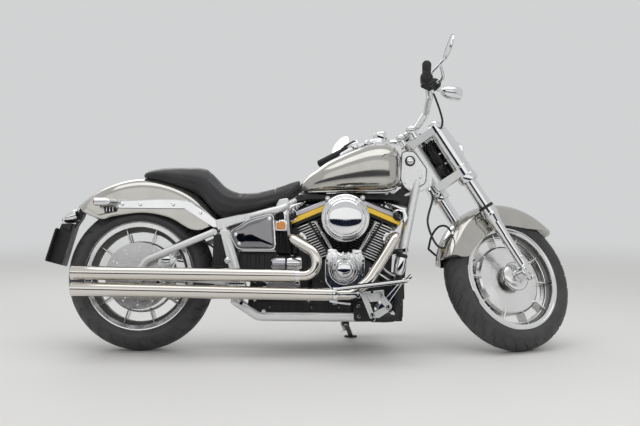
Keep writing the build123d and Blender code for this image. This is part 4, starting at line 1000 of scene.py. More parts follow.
def makeMufflers():
    piece = Piece("mufflerPipes", "frame", bike, "pipe_chrome", "chrome", "darkHole")
    for front, rear in exhaust["mufflers"]:
        front, rear = Vector(front), Vector(rear)
        length = (rear - front).length
        at = aim(front, rear - front)
        small, large = exhaust["radii"]
        bore = large - exhaust["wall"]
        piece.use("pipe_chrome").lathe(((0, 22.4), (0, small - 2), (5, small), (14, small), (16, small - 0.8),
            (18, small - 0.8), (20, small + 0.1), (length - 3, large), (length - 0.6, large - 0.8),
            (length, large - 1.8), (length - 0.8, bore), (length - 40, bore)), at, 56)
        # the bore's dark lining and closed end: painted shade inside the pipe
        piece.use("darkHole").lathe(((length - 40, bore), (length - exhaust["boreDepth"], bore),
            (length - exhaust["boreDepth"], 0)), at, 56)
    for x, half in ((443, 34), (-182, 16)):              # tabs between the two pipes
        middle = 285 + (443 - x) * 0.012
        piece.use("chrome").slab(box(x - half, middle - 6, x + half, middle + 6), -254, -242, rim=2, corner=4)
    for x, z in ((560, 283), (110, 288)):
        piece.tube(((x, -236, z), (x + 10, -150, z + 8)), 8)
    piece.done("pipe_chrome", "mufflers")


makeHeaders()
makeMufflers()
print("exhausts made")


# frame: side covers, castings, bolts, oil filter and regulator
sideCover = {"outline": ((411, 516), (489, 566), (588, 592), (601, 437), (437, 437), (406, 500)), "corner": 22,
    "bulge": ((150.4, 1), (168, 1), (174, 0.975), (179, 0.92), (183.4, 0.82), (186.8, 0.66), (189, 0.46),
    (190.1, 0.26), (190.5, 0.1)), "bolts": ((431, 499), (446, 461), (574, 568))}


def dome(piece, outline, levels, side):
    # rings of the outline, each shrunk about its middle and set further out
    middle = sum((Vector(point) for point in outline), Vector((0, 0))) / len(outline)
    points, count = [], len(outline)
    for y, scale in levels:
        for point in outline:
            spot = middle + (Vector(point) - middle) * scale
            points.append((spot.x, side * y, spot.y))
    cap = tuple(range((len(levels) - 1) * count, len(levels) * count))
    piece.faces(points, ringQuads(len(levels), count) + [cap])


def makeSideCovers():
    piece = Piece("sideCoverPanels", "frame", bike, "gloss_black", "chrome")
    outline = rounded(sideCover["outline"], sideCover["corner"], 6)
    for side in (-1, 1):
        piece.use("gloss_black")
        dome(piece, outline, sideCover["bulge"], side)
        loop = [(x, side * 171, z) for x, z in outline]
        piece.use("chrome").tube(loop + loop[:1], 3.2, sides=8, steps=1, caps=False)
        piece.bolts(sideCover["bolts"], side * 184, side, 6.5, 7)
    piece.done("gloss_black", "side_covers")


neck = {"outline": ((1150, 762), (1157, 886), (1180, 893), (1212, 890), (1268, 812), (1262, 748), (1196, 708),
    (1168, 726)), "bolts": ((1193, 847, 15), (1175, 752, 7), (1240, 775, 7), (1196, 725, 6)), "bigBolt": 15,
    "rail": ((1226, 36, 762), (1240, 30, 800), (1262, 20, 830))}


def makeNeck():
    piece = Piece("neckCasting", "frame", bike, "silver_frame", "chrome", "black_rubber")
    rows = [("silver_frame", "slab", neck["outline"], 41, 46, 2.2, 14)]
    for x, z, radius in neck["bolts"]:
        if radius < neck["bigBolt"]:
            rows.append(("chrome", "bolts", ((x, z),), 46, radius, 7))
            continue
        rows.append(("black_rubber", "turned", ((0, 0), (0, 23), (4, 23), (6, 20), (6, 0)), (x, 46, z), out,
            40))
        rows.append(("chrome", "turned", ((4, 17), (9, 17), (13, 14), (15, 8), (15, 0)), (x, 46, z), out, 40))
    edge = rounded(neck["outline"], 14)
    for side in (-1, 1):
        piece.draw(rows, side)
        seam = [(x, side * 46.4, z) for x, z in edge + edge[:1]]
        piece.use("black_rubber").tube(seam, 1.5, sides=6, steps=1, caps=False)
        piece.use("silver_frame").tube([sided(point, side) for point in neck["rail"]], 9, sides=14)
    piece.done("silver_frame")


frameTrim = (
    # the cradle's front is black, behind a bolted lug
    ("black_fins", "tube", ((1154, 95, 414), (1150, 98, 380), (1122, 119, 165), (1112, 122, 150),
                            (1030, 135, 150)), 20.2, 24, 3),
    ("black_fins", "slab", ((938, 140), (946, 132), (1022, 132), (1030, 140), (1026, 205), (1008, 221),
                            (958, 216), (938, 190)), 128, 173, 5, 9),
    ("chrome", "bolts", ((958, 196), (1006, 198), (960, 152), (1010, 152)), 173, 7, 8),
    ("chrome", "turned", ((0, 23), (16, 23), (18, 21), (18, 19)), (1157, 92, 436), (-0.1, 0.1, 1), 36),
    # castings where the rails meet
    ("silver_frame", "slab", ((358, 520), (400, 520), (449, 352), (402, 352)), 154, 160, 2, 4),
    # a dark disc on the casting standing in for the shade in its hole: painted shade
    ("darkHole", "turned", ((0, 0), (0, 7), (1, 7), (1, 0)), (417, 160.2, 385), out, 20),
    ("silver_frame", "slab", ((337, 563), (430, 586), (487, 595), (490, 563), (436, 550), (349, 519)), 148,
     156, 3, 9),
    ("silver_frame", "slab", ((596, 632), (612, 662), (650, 668), (660, 640), (626, 624)), 84, 116, 4, 9),
    ("chrome", "bolts", ((462, 578),), 156, 5, 6),
    ("chrome", "turned", ((0, 0), (0, 24), (4, 24), (7, 21), (9, 12), (12, 11), (12, 0)), (430, 170, 297),
     out, 40))
# a ribbed black block and a chrome cap behind the rear rail, and the lugs under the gearbox
frameBlocks = (
    ("black_plastic", "slab", ((326, 356), (398, 356), (404, 440), (380, 506), (330, 500)), 120, 144, 4, 8),
    *(("black_plastic", "slab", ((x, 372), (x + 9, 372), (x + 7, 486), (x - 2, 486)), 144, 149, 1.5, 0)
      for x in (334, 352, 370)),
    ("chrome", "turned", ((0, 0), (0, 10), (4, 14), (10, 16), (16, 14), (20, 8), (21, 0)), (394, 146, 389),
     out, 30),
    *(("black_fins", "slab", box(x, 424, x + 22, 470), 60, 84, 2, 3) for x in (608, 640, 672)))


def makeFrameTrim():
    piece = Piece("frameTrim", "frame", bike, "silver_frame", "chrome", "black_fins", "black_plastic")
    for side in (-1, 1):
        piece.draw(frameTrim, side)
        piece.bolt((456, side * 160, 205), (0, side, 0), 9, 10, False)
        piece.bolt((553, side * 168, 171), (0, side, 0.3), 7, 7)
        piece.draw(frameBlocks, side)
    piece.use("silver_frame").tube(((1205, -30, 705), (1150, -20, 690), (1100, 0, 700)), 10, sides=12)
    piece.done("silver_frame")


oilFilter = {"centre": (1141, -124, 378), "tilt": 12,
             "bowl": ((-50, 0), (-49, 10), (-45, 17), (-36, 22), (-20, 24.5), (24, 24.5), (30, 23.5), (32, 20)),
             "cap": ((32, 21), (36, 25), (44, 25), (48, 20), (50, 0))}


def makeOilFilter():
    piece = Piece("oilFilter", "frame", bike, "chrome", "black_fins")
    at = Matrix.Translation(oilFilter["centre"]) @ turned("Y", oilFilter["tilt"])
    piece.lathe(oilFilter["bowl"], at, 40)
    piece.use("black_fins").lathe(oilFilter["cap"], at, 32)
    piece.tube(((1150, -122, 424), (1120, -112, 436), (1056, -60, 420)), 12, sides=16)
    piece.use("chrome").tube(((1120, -100, 330), (1090, -104, 345), (1062, -100, 370), (1050, -96, 392)), 5,
        sides=10)
    piece.tube(((1110, -96, 300), (1080, -100, 320), (1040, -98, 345)), 5, sides=10)
    piece.done("chrome")


regulator = {"left": 1052, "right": 1161, "low": 229, "high": 307, "fins": 11}


def makeRegulator():
    piece = Piece("regulatorFins", "frame", bike, "black_fins", "black_plastic", "chrome")
    low, high = regulator["low"], regulator["high"]
    piece.slab(box(1056, low + 4, 1157, high - 4), -84, -40, rim=3, corner=5)
    for index in range(regulator["fins"]):
        x = regulator["left"] + (regulator["right"] - regulator["left"] - 5) * index / (regulator["fins"] - 1)
        piece.slab(box(x, low, x + 4.6, high), -104, -82, rim=0.9)
    piece.use("black_plastic").slab(box(1102, 133, 1150, 219), -124, -70, rim=4, corner=6)
    piece.use("chrome").bolts(((1110, 145), (1142, 206)), -124, -1, 5, 6)
    piece.use("black_plastic").slab([(1126, 148), (1148, 146), (1150, 256), (1126, 260)], -60, 60, rim=3,
        corner=5)
    for index in range(8):                             # the ribbed front of the unit between the tubes
        y = -49 + 14 * index
        piece.use("black_fins").slab([(1148, 152), (1158, 152), (1160, 250), (1150, 252)], y - 2.4, y + 2.4,
            rim=1)
    piece.done("black_fins", "regulator")


driveSide = {"face": 215.3, "lids": ((640, 302, 82), (900, 275, 62)),
             "bolts": ((545, 380), (760, 398), (930, 362), (985, 250), (880, 190), (720, 190), (560, 218))}


def makeDriveSide():
    piece = Piece("driveSideTrim", "frame", bike, "chrome", "black_plastic", "gloss_black")
    face = driveSide["face"]
    for x, z, radius in driveSide["lids"]:
        at = aim((x, face, z), (0, 1, 0))
        piece.use("chrome").lathe(((0, radius + 8), (2, radius + 8), (4, radius + 5), (4, radius),
            (2, radius - 3), (7, radius - 10), (9, radius * 0.5), (9.5, 0)), at, 72)
        for spot in circle(radius - 12, 5, 6, 0.5):
            piece.bolt(at @ spot, (0, 1, 0), 4, 5)
    piece.bolts(driveSide["bolts"], face - 2, 1, 5, 7)
    for part in range(2):                              # shift rod and toe lever
        piece.tube(((1010 + 60 * part, 270, 196), (1070 + 60 * part, 282, 236)), 7)
    piece.tube(((760, 222, 330), (900, 232, 250), (1010, 262, 196)), 6, sides=12)
    piece.use("black_plastic").tube(((1130, 262, 238), (1130, 322, 240)), 11)
    piece.use("gloss_black").slab([(60, 436), (300, 402), (520, 372), (524, 360), (300, 388), (60, 424)], 100,
        132, rim=2)
    piece.done("chrome")


makeSideCovers()
makeNeck()
makeFrameTrim()
makeOilFilter()
makeRegulator()
makeDriveSide()
print("frame trim made")


# fenders: shells turned about the wheel whose lower edges run in a soft curve
def fenderSection(shape, reach, inset):
    # half a section from the crown's middle to the edge, at even steps
    shoulder, line = shape["radius"] - shape["crown"], []
    for step in range(61):
        angle = math.radians(90 * step / 60)
        line.append(((shape["half"] - inset) * math.sin(angle),
            shoulder + (shape["crown"] - inset) * math.cos(angle)))
    line.append((shape["half"] - inset, min(reach, shoulder)))
    kept = [line[0]]
    for point in line[1:]:
        if point[1] < reach:
            last = kept[-1]
            t = min(max((last[1] - reach) / max(last[1] - point[1], 0.001), 0), 1)
            kept.append((last[0] + (point[0] - last[0]) * t, last[1] + (point[1] - last[1]) * t))
            break
        kept.append(point)
    lengths = [0]
    for a, b in zip(kept, kept[1:]):
        lengths.append(lengths[-1] + math.dist(a, b))
    out = []
    for step in range(fenders["across"]):
        goal, index = lengths[-1] * step / (fenders["across"] - 1), 0
        while index < len(kept) - 2 and lengths[index + 1] < goal:
            index += 1
        t = (goal - lengths[index]) / max(lengths[index + 1] - lengths[index], 0.001)
        out.append((kept[index][0] + (kept[index + 1][0] - kept[index][0]) * t,
            kept[index][1] + (kept[index + 1][1] - kept[index][1]) * t))
    return out


def makeFender(which, name, body, place, node):
    shape = fenders[which]
    piece = Piece(name, body, place, "champagne_paint", "black_rubber")
    middle, path = shape["centre"], []
    for point in smoothPath([(x, 0, z) for x, z in shape["edge"]], 12):
        x, z = point.x - middle[0], point.z - middle[1]
        path.append((math.atan2(z, x), min(math.hypot(x, z), shape["radius"] - 2)))
    path.sort()
    low, high = path[0][0], path[-1][0]
    points, stations, edges, index = [], fenders["along"], ([], []), 0
    for station in range(stations + 1):
        angle = low + (high - low) * station / stations
        while index < len(path) - 2 and path[index + 1][0] < angle:
            index += 1
        (a, ra), (b, rb) = path[index], path[index + 1]
        reach = ra + (rb - ra) * min(max((angle - a) / max(b - a, 1e-6), 0), 1)
        loop = []
        for inset in (0, fenders["wall"]):
            half = fenderSection(shape, reach, inset)
            row = [(-y, r) for y, r in reversed(half)] + half[1:]
            loop += row if inset == 0 else row[::-1]
        for y, r in loop:
            points.append((middle[0] + r * math.cos(angle), y, middle[1] + r * math.sin(angle)))
        for side in (0, 1):
            y, r = loop[0] if side == 0 else loop[2 * fenders["across"] - 2]
            edges[side].append((middle[0] + r * math.cos(angle), y - (1 if y > 0 else -1) * 1.6,
                middle[1] + r * math.sin(angle)))
    count = len(points) // (stations + 1)
    polygons = ringQuads(stations + 1, count)
    half = count // 2
    for ring in (0, stations):
        polygons += [(ring * count + i, ring * count + i + 1, ring * count + count - 2 - i,
            ring * count + count - 1 - i) for i in range(half - 1)]
    piece.faces(points, polygons)
    for edge in edges:
        piece.use("champagne_paint").tube(edge[1:-1:2], fenders["lip"], sides=8, steps=1)
    piece.done("champagne_paint", node)


makeFender("rear", "rearFenderShell", "frame", bike, "rear_fender")
makeFender("front", "frontFenderShell", "steering", steered, "front_fender")
print("fenders made")


# fuel tank: soft sections whose widest line runs along the middle of the flank
tank = {"stations": ((696, 705, 727, 24), (708, 701, 748, 44), (738, 699, 783, 72), (770, 699, 806, 93),
                     (820, 698, 842, 118), (880, 698, 873, 139), (940, 698, 900, 153), (1000, 698, 922, 162),
                     (1050, 699, 931, 162), (1090, 703, 930, 152), (1114, 711, 922, 137),
                     (1132, 724, 908, 117), (1144, 742, 889, 90), (1150, 766, 866, 54), (1151, 800, 832, 16)),
        # the half section as arcs: the normal's angle where each ends, its radius
        "arcs": ((5, 1.0), (-10, 3.4), (-90, 0.56)), "around": 36, "steps": 7}


def tankHalf():
    # from the top's middle round the flank to the bottom's: across and up as shares of half width and height
    y = z = 0.0
    line, angle = [(0.0, 0.0)], 90.0
    starts = (90, tank["arcs"][0][0], tank["arcs"][1][0])
    total = sum(radius * (start - end) for start, (end, radius) in zip(starts, tank["arcs"]))
    step = total / 1440
    for end, radius in tank["arcs"]:
        while angle > end:
            turn = math.radians(angle)
            y += step * math.sin(turn)
            z -= step * math.cos(turn)
            angle -= step / radius
            line.append((y, z))
    widest, low = max(y for y, z in line), line[-1][1]
    flat = line[-1][0]
    kept = [line[round(i * (len(line) - 1) / tank["around"])] for i in range(tank["around"] + 1)]
    return [(y / widest, 1 - z / low) for y, z in kept] + [(flat / widest * 0.5, 0.0)]


def makeTank():
    piece = Piece("tankShell", "frame", bike, "champagne_paint", "chrome")
    stations = tank["stations"]
    lows = smoothPath([(x, 0, low) for x, low, top, half in stations], tank["steps"])
    tops = smoothPath([(x, 0, top) for x, low, top, half in stations], tank["steps"])
    halves = smoothPath([(x, 0, half) for x, low, top, half in stations], tank["steps"])
    section, points = tankHalf(), []
    loop = [(-y, z) for y, z in section[:0:-1]] + section
    around = len(loop)
    for low, top, half in zip(lows, tops, halves):
        points += [(low.x, half.z * y, low.z + (top.z - low.z) * z) for y, z in loop]
    rings = len(lows)
    ends = [tuple(range(around)), tuple(range((rings - 1) * around, rings * around))]
    piece.faces(points, ringQuads(rings, around) + ends)
    for side in (-1, 1):                                # the seam flange under each flank
        line = [(x, side * half * 0.78, low + 3) for x, low, top, half in stations[2:-3]]
        piece.tube(line, 3.4, sides=8, steps=4)
        line = [(x, side * (half * 0.60), low - 2) for x, low, top, half in stations[4:-4]]
        piece.use("chrome").tube(line, 4, sides=8, steps=4)
        piece.use("champagne_paint")
    piece.done("champagne_paint", "fuel_tank")


makeTank()
print("tank made")


# steering: what hangs on the fork and the handlebar
bar = {"inner": (1085, 345, 1056), "outer": (989, 495, 1024), "radius": 14}


def gripAim(side, along):
    # z runs out along the grip from a point that far out of its inner end
    start, end = sided(bar["inner"], side), sided(bar["outer"], side)
    way = (end - start).normalized()
    return aim(start + way * along, way)


def makeGrips():
    piece = Piece("barGrips", "steering", steered, "black_rubber")
    for side in (-1, 1):
        profile, along = [(0, 14.2), (0, 20), (3, 22), (6, 22), (8, 18.4)], 8
        while along < 132:
            profile += [(along + 1, 18.6), (along + 5, 18.6), (along + 6, 17.6), (along + 7.4, 17.6)]
            along += 8
        profile += [(along + 2, 19), (along + 8, 19), (along + 13, 16.5), (along + 15.5, 9), (along + 16, 0)]
        piece.lathe(profile, gripAim(side, 36), 32)
    piece.done("black_rubber", "grips")


control = {"housing": ((0, 14.3), (0, 24), (3, 27), (24, 27), (26, 24.5), (28, 27), (56, 27), (60, 24),
                       (62, 14.3)),
           "switches": ((1068, 1032), (1122, 1018), (1136, 1062), (1084, 1082)),
           "reservoir": ((1116, 1040), (1150, 1030), (1158, 1062), (1124, 1072)),
           "button": ((1084, 1040), (1098, 1036), (1102, 1050), (1088, 1054)),
           "lever": ((1128, 338, 1050), (1142, 366, 1050), (1126, 408, 1044), (1090, 456, 1032),
                     (1046, 512, 1014), (1034, 528, 1010)), "leverRadii": (7, 8, 6.4, 6, 5.6, 7.5)}


def makeControls():
    piece = Piece("handControls", "steering", steered, "black_plastic", "chrome", "gloss_black", "darkHole")
    for side in (-1, 1):
        piece.use("black_plastic").lathe(control["housing"], gripAim(side, -30), 36)
        piece.slab(control["switches"], side * 312, side * 348, rim=4, corner=10)
        piece.slab(control["reservoir"], side * 306, side * 352, rim=3, corner=6)
        for x, z in ((1127, 1071), (1147, 1065)):
            piece.use("chrome").bolt((x, side * 329, z), (0.2, 0, 1), 4, 4)
        piece.use("gloss_black").lathe(((0, 0), (0, 9), (4, 9), (6, 6), (6, 0)),
            aim((1098, side * 350, 1056), (0, side, 0)), 20)
        piece.use("chrome").slab(control["button"], side * 347, side * 352, rim=1.2, corner=3)
        piece.tube([sided(point, side) for point in control["lever"]], control["leverRadii"], sides=14)
        piece.lathe(((-9, 9), (9, 9), (11, 7), (11, 0)), aim((1130, side * 340, 1050), (0, 0, 1)), 20)
    piece.done("black_plastic", "hand_controls")


mirror = {"stem": ((1120, 336, 1076), (1120, 344, 1100), (1126, 396, 1112), (1122, 452, 1116),
    (1120, 486, 1132)), "stemRadii": (6, 5, 5, 5, 6), "foot": (1120, 335, 1071), "head": (1109, 490, 1138),
    "facing": (1, 0.3, -0.38), "back": ((16, 0), (15.4, 20), (13, 40), (9.6, 53), (6, 58.6), (1, 59.4),
    (-1, 58), (-1, 56)), "glass": ((-0.4, 56.4), (-0.2, 30), (0, 0))}


def makeMirrors():
    piece = Piece("mirrorHeads", "steering", steered, "chrome", "mirrorGlass", "black_plastic")
    for side in (-1, 1):
        piece.use("chrome").tube([sided(point, side) for point in mirror["stem"]], mirror["stemRadii"],
            sides=14)
        piece.lathe(((0, 0), (0, 9), (5, 9), (7, 7), (7, 0)), aim(sided(mirror["foot"], side), (0, 0, 1)), 20)
        at = aim(sided(mirror["head"], side), sided(mirror["facing"], side))
        piece.lathe(mirror["back"], at, 56)
        piece.use("mirrorGlass").lathe(mirror["glass"], at, 48)
    piece.done("chrome", "mirrors")


forkLegs = {"ahead": 28, "half": 115, "outer": 139, "stem": -45.4, "top": 756}


def legPlace(side, high=0):
    return Matrix.Translation((forkLegs["ahead"], side * forkLegs["half"], high))


def makeBarClamps():
    piece = Piece("barClamps", "steering", fork, "chrome", "black_rubber", "black_plastic")
    for side in (-1, 1):
        place = Matrix.Translation((-40, side * 45, forkLegs["top"]))
        piece.use("chrome").lathe(((0, 24), (4, 24), (7, 20), (30, 19), (34, 22), (52, 22), (58, 18), (59, 0)),
            place, 32)
        for u in (-13, 13):
            piece.bolt(place @ Vector((u, 0, 58)), (0, 0, 1), 5, 6)
        cap = legPlace(side, forkLegs["top"])
        piece.lathe(((0, 33), (3, 33), (6, 30), (8, 22), (16, 21), (19, 18), (19, 8), (15, 6), (15, 0)), cap,
            36)
    piece.lathe(((0, 22), (3, 25), (9, 25), (11, 18), (20, 17), (22, 14), (22, 0)),
        Matrix.Translation((forkLegs["stem"], 0, forkLegs["top"])), 6)
    piece.use("black_plastic").slab([(-18, 757), (14, 757), (10, 770), (-14, 770)], -34, 34, rim=3, corner=4)
    for index in range(3):
        piece.use("chrome").lathe(((0, 4), (2, 4), (3, 2.5), (3, 0)),
            Matrix.Translation((-2, (index - 1) * 18, 770)), 16)
    piece.done("chrome")


def makeForkTrim():
    piece = Piece("forkTrim", "steering", fork, "chrome", "black_rubber", "brake_steel")
    for side in (-1, 1):
        leg = legPlace(side)
        piece.use("black_rubber").lathe(((321, 31), (323, 34.6), (332, 34.6), (336, 31.5)), leg, 40)
        piece.use("chrome").lathe(((286, 34.2), (288, 36), (296, 36), (298, 34.2)), leg, 40)
        piece.lathe(((463, 38.2), (465, 43), (470, 44), (492, 44), (497, 42), (499, 38)), leg, 44)
        piece.lathe(((536, 38.2), (538, 40), (543, 40), (545, 38.2)), leg, 44)
        piece.lathe(((-46, 0), (-45, 14), (-40, 20), (-36, 23.4), (-30, 23.4)), leg, 36)
        axle = aim((0, side * 144, 0), (0, side, 0))
        piece.lathe(((0, 28), (3, 31), (8, 31), (11, 27), (11, 22), (14, 20), (22, 18), (24, 10), (24, 0)),
            axle, 44)
        for w in (236, 262):
            piece.bolt((forkLegs["ahead"], side * 137, w), (0, side, 0), 6.5, 8)
        for u in (12, 44):
            piece.bolt((u, side * forkLegs["outer"], 20), (0, side, 0), 4.5, 6)
        piece.lathe(((-3, 9), (0, 9), (3, 6), (3, 0)), aim((forkLegs["ahead"], side * forkLegs["outer"], 60),
            (0, side, 0)), 16)
        for w in (517, 739):
            piece.bolt((66, side * forkLegs["half"], w), (1, 0, 0), 6, 8)
    piece.use("brake_steel").tube(((28, -60, 515), (28, 60, 515)), 5)
    piece.done("chrome")


def makeWiring():
    piece = Piece("wiringBundle", "steering", fork, "black_plastic", "black_rubber", "chrome")
    piece.slab([(-6, 540), (30, 536), (34, 600), (30, 706), (-4, 712)], -66, 66, rim=8, corner=12)
    random.seed(11)
    for index in range(9):
        y = -64 + 16 * index
        piece.use("black_rubber").tube(((8, y, 712), (-10, y + random.uniform(-9, 9), 670),
            (-6, y + random.uniform(-12, 12), 610), (4, y * 0.7, 540), (18, y * 0.5, 505)),
            random.uniform(4, 6.5), sides=8)
    for y, w in ((-70, 640), (-70, 590), (-52, 668)):
        piece.use("chrome").bolt((6, y, w), (0, -1, 0), 5, 5)
    piece.use("black_plastic").lathe(((0, 0), (0, 30), (6, 34), (30, 36), (52, 33), (60, 22), (62, 0)),
        aim((4, -64, 566), (0, 1, 0.2)), 32)
    piece.done("black_plastic")


# the throttle cable and the brake hose with its branch, each held at both ends by what it is fitted to
hoses = {"cable": ((1118, 326, 1024), (1148, 306, 996), (1196, 262, 962), (1245, 200, 953), (1277, 130, 949),
    (1288, 84, 936)), "brake": ((1262, -22, 706), (1266, -30, 660), (1226, -44, 574), (1206, -60, 520),
    (1202, -88, 446), (1216, -104, 402), (1246, -106, 398), (1270, -102, 434), (1300, -102, 470)),
    "crossing": ((1300, -102, 470), (1301, -60, 520), (1301, 0, 540), (1301, 60, 520), (1300, 96, 470)),
    "branch": ((1300, 96, 470), (1360, 104, 440), (1450, 96, 430), (1530, 92, 450)), "cableRadius": 4.6,
    "radius": 4.8}


def makeHoses():
    piece = Piece("controlHoses", "steering", steered, "black_rubber", "chrome")
    for side in (-1, 1):
        cable = [sided(point, side) for point in hoses["cable"]]
        piece.use("black_rubber").tube(cable, hoses["cableRadius"], sides=10, steps=7)
        piece.use("chrome").lathe(((0, 6.5), (16, 6.5), (18, 5)), aim(cable[0], cable[1] - cable[0]), 16)
    for name in ("brake", "crossing", "branch"):
        piece.use("black_rubber").tube(hoses[name], hoses["radius"], sides=10, steps=7)
    for point in (hoses["brake"][0], hoses["brake"][-1]):
        piece.use("chrome").lathe(((-7, 7), (7, 7), (9, 5)), aim(point, (0.3, 0, 1)), 14)
    piece.done("black_rubber")


headlamp = {"centre": (1335, 0, 895), "flutes": range(-60, 61, 12), "glass": 70}


def makeLamp():
    piece = Piece("headlampGlass", "steering", steered, "chrome", "lensGlass", "darkHole")
    at = aim(headlamp["centre"], (1, 0, 0))
    front, _, middle = headlamp["centre"]
    piece.lathe(((0, 0), (0, 36), (18, 56), (44, 72), (64, 78), (84, 78), (88, 80), (93, 80), (95, 77),
        (94, 74), (88, 72), (84, 71.5)), at, 72)
    piece.use("lensGlass").lathe(((86, 72.4), (91, 60), (94.4, 36), (95.6, 0)), at, 64)
    for y in headlamp["flutes"]:
        high = math.sqrt(headlamp["glass"] ** 2 - y ** 2) * 0.94
        depth = front + 95.4 - 9 * (y / 72) ** 2
        back = depth - 5 - 3 * (abs(y) / 60)
        piece.tube(((back, y, middle - high), (depth - 0.6, y, middle), (back, y, middle + high)), 1.5, sides=6)
    piece.done("chrome", "headlamp")


def makeSignals(name, body, place, node, spots, colour):
    # chrome bullets with a coloured glass at the far end
    piece = Piece(name, body, place, "chrome", colour)
    for point, direction, profile, glass, stalk in spots:
        at = aim(point, direction)
        piece.use("chrome").lathe(profile, at, 40)
        piece.use(colour).lathe(glass, at, 36)
        piece.use("chrome").tube(stalk, 7, steps=1)
    piece.done("chrome", node)


frontSignal = (((0, 0), (2, 12), (9, 20), (22, 26), (40, 30), (86, 30), (90, 29), (90, 26.5)),
               ((89, 27), (94, 20), (96, 10), (96.4, 0)))
makeGrips()
makeControls()
makeMirrors()
makeBarClamps()
makeForkTrim()
makeWiring()
makeHoses()
makeLamp()
makeSignals("frontSignalBullets", "steering", steered, "front_signals",
            [((1189, side * 300, 1046), (1, 0, 0), *frontSignal,
              ((1155, side * 303, 1047), (1194, side * 300, 1046)))
             for side in (-1, 1)], "amberGlass")
print("steering trim made")


# tail: lamp, plate, struts, signals and the rear caliper
def makeTail():
    piece = Piece("tailLampBullet", "frame", bike, "chrome", "redGlass", "black_plastic")
    ring = []
    for index in range(28):
        angle = 2 * math.pi * index / 28
        ring.append((math.copysign(abs(math.cos(angle)) ** 0.8, math.cos(angle)),
            math.copysign(abs(math.sin(angle)) ** 0.8, math.sin(angle))))
    tilt = Matrix.Translation((-291, 0, 596)) @ turned("Y", -17) @ Matrix.Translation((291, 0, -596))
    layers = ((-287, 27, 44, 596), (-294, 29, 54, 596), (-312, 27, 57, 595.5), (-332, 21.5, 55, 594),
        (-348, 15.5, 50, 592.5), (-357, 11, 45, 591.5), (-358, 9.6, 43, 591.4))
    glass = ((-357.4, 9.4, 42, 591.4), (-362, 7.6, 38, 591.2), (-366, 3.4, 26, 591), (-366.6, 0.3, 2, 591))
    for look, stack in (("chrome", layers), ("redGlass", glass)):
        points = [tilt @ Vector((x, across * half, z + up * high))
                  for x, high, half, z in stack for across, up in ring]
        piece.use(look).faces(points, ringQuads(len(stack), len(ring)) + [tuple(range(len(ring)))])
    piece.done("red_lens", "tail_lamp")


plate = {"centre": (-389.8, 0, 459), "slope": (42, 147), "half": (90, 72.6), "corner": 9, "bolts": (62, 58)}


def makePlate():
    piece = Piece("plateTrim", "frame", bike, "chrome", "black_plastic", "plate_white", "amberGlass")
    at = Matrix.Translation(plate["centre"]) @ turned("Y", math.degrees(math.atan2(*plate["slope"])))
    width, high = plate["half"]
    loop = rounded(box(-width, -high, width, high), plate["corner"])
    border = [(0.4, y, z) for y, z in loop + loop[:1]]
    piece.use("black_plastic").tube(border, 3, at, sides=10, steps=1, caps=False)
    width, high = plate["bolts"]
    for y, z in ((-width, -high), (-width, high), (width, -high), (width, high)):
        piece.use("chrome").bolt(at @ Vector((-2, y, z)), at.to_3x3() @ Vector((-1, 0, 0)), 4.5, 2)
    piece.use("black_plastic").slab(box(1.6, -76, 5, 76), -92, 92, at, rim=1)
    piece.slab([(-352, 536), (-340, 556), (-306, 556), (-316, 520)], -54, 54, rim=3, corner=5)
    piece.use("chrome").slab([(-361, 536), (-352, 548), (-330, 548), (-338, 532)], -30, 30, rim=3, corner=4)
    piece.done("chrome")


strutTrim = (
    ("chrome", "bolts", ((6, 633), (270, 598), (150, 634), (-72, 634)), 135.6, 8, 8),
    ("chrome", "tube", ((-90, 135.6, 648), (208, 135.6, 650), (344, 135.6, 560)), 2.4, 8, 5),
    # the louvre, its openings a dark slab of painted shade, and its ribs, the strut's painted end, the side marker
    ("darkHole", "slab", ((-152, 624), (-95, 618), (-99, 603), (-146, 593)), 136, 142, 1.5, 3),
    *(("chrome", "slab", box(x, 599, x + 3, 618), 135.2, 142.8, 0.6, 0) for x in (-140, -126, -112)),
    ("champagne_paint", "slab", ((-232, 619), (-204, 662), (-100, 655), (-84, 618), (-152, 590), (-178, 584)),
     126, 136.4, 3, 9),
    ("amberGlass", "slab", box(617, 545, 635, 562), 141.5, 146, 1.2, 3),
    ("chrome", "slab", box(611, 539, 641, 568), 130, 143, 2, 5))


def makeStruts():
    piece = Piece("strutTrim", "frame", bike, "chrome", "darkHole", "champagne_paint", "amberGlass")
    for side in (-1, 1):
        piece.draw(strutTrim, side)
    piece.done("chrome")


rearCaliper = (
    ("chrome", "slab", ((80, 375), (140, 345), (175, 400), (110, 440)), 130.7, 96, 5, 14),
    ("chrome", "bolts", ((104, 388), (142, 372), (150, 404)), 130.7, 7, 7),
    ("chrome", "turned", ((0, 0), (0, 20), (3, 22), (6, 18), (6, 0)), (122, 130.7, 396), out, 30),
    ("black_rubber", "tube", ((140, 112, 432), (180, 120, 470), (270, 128, 478), (350, 130, 430),
                              (400, 132, 360)), 4.6, 10, 6))
frontCaliper = (
    ("chrome", "slab", ((1490, 400), (1540, 368), (1600, 400), (1596, 440), (1520, 470)), 72, 91.7, 4, 12),
    ("chrome", "bolts", ((1512, 412), (1548, 388), (1584, 412), (1540, 448)), 91.7, 6, 6),
    ("chrome", "turned", ((0, 0), (0, 17), (3, 19), (5, 15), (5, 0)), (1556, 91.7, 420), out, 28))


def makeCalipers():
    rear = Piece("rearCaliperBody", "frame", bike, "chrome", "black_plastic", "black_rubber")
    rear.draw(rearCaliper, -1).done("chrome", "rear_caliper")
    front = Piece("frontCaliperBody", "steering", steered, "chrome", "black_plastic")
    front.draw(frontCaliper).done("chrome", "front_caliper")


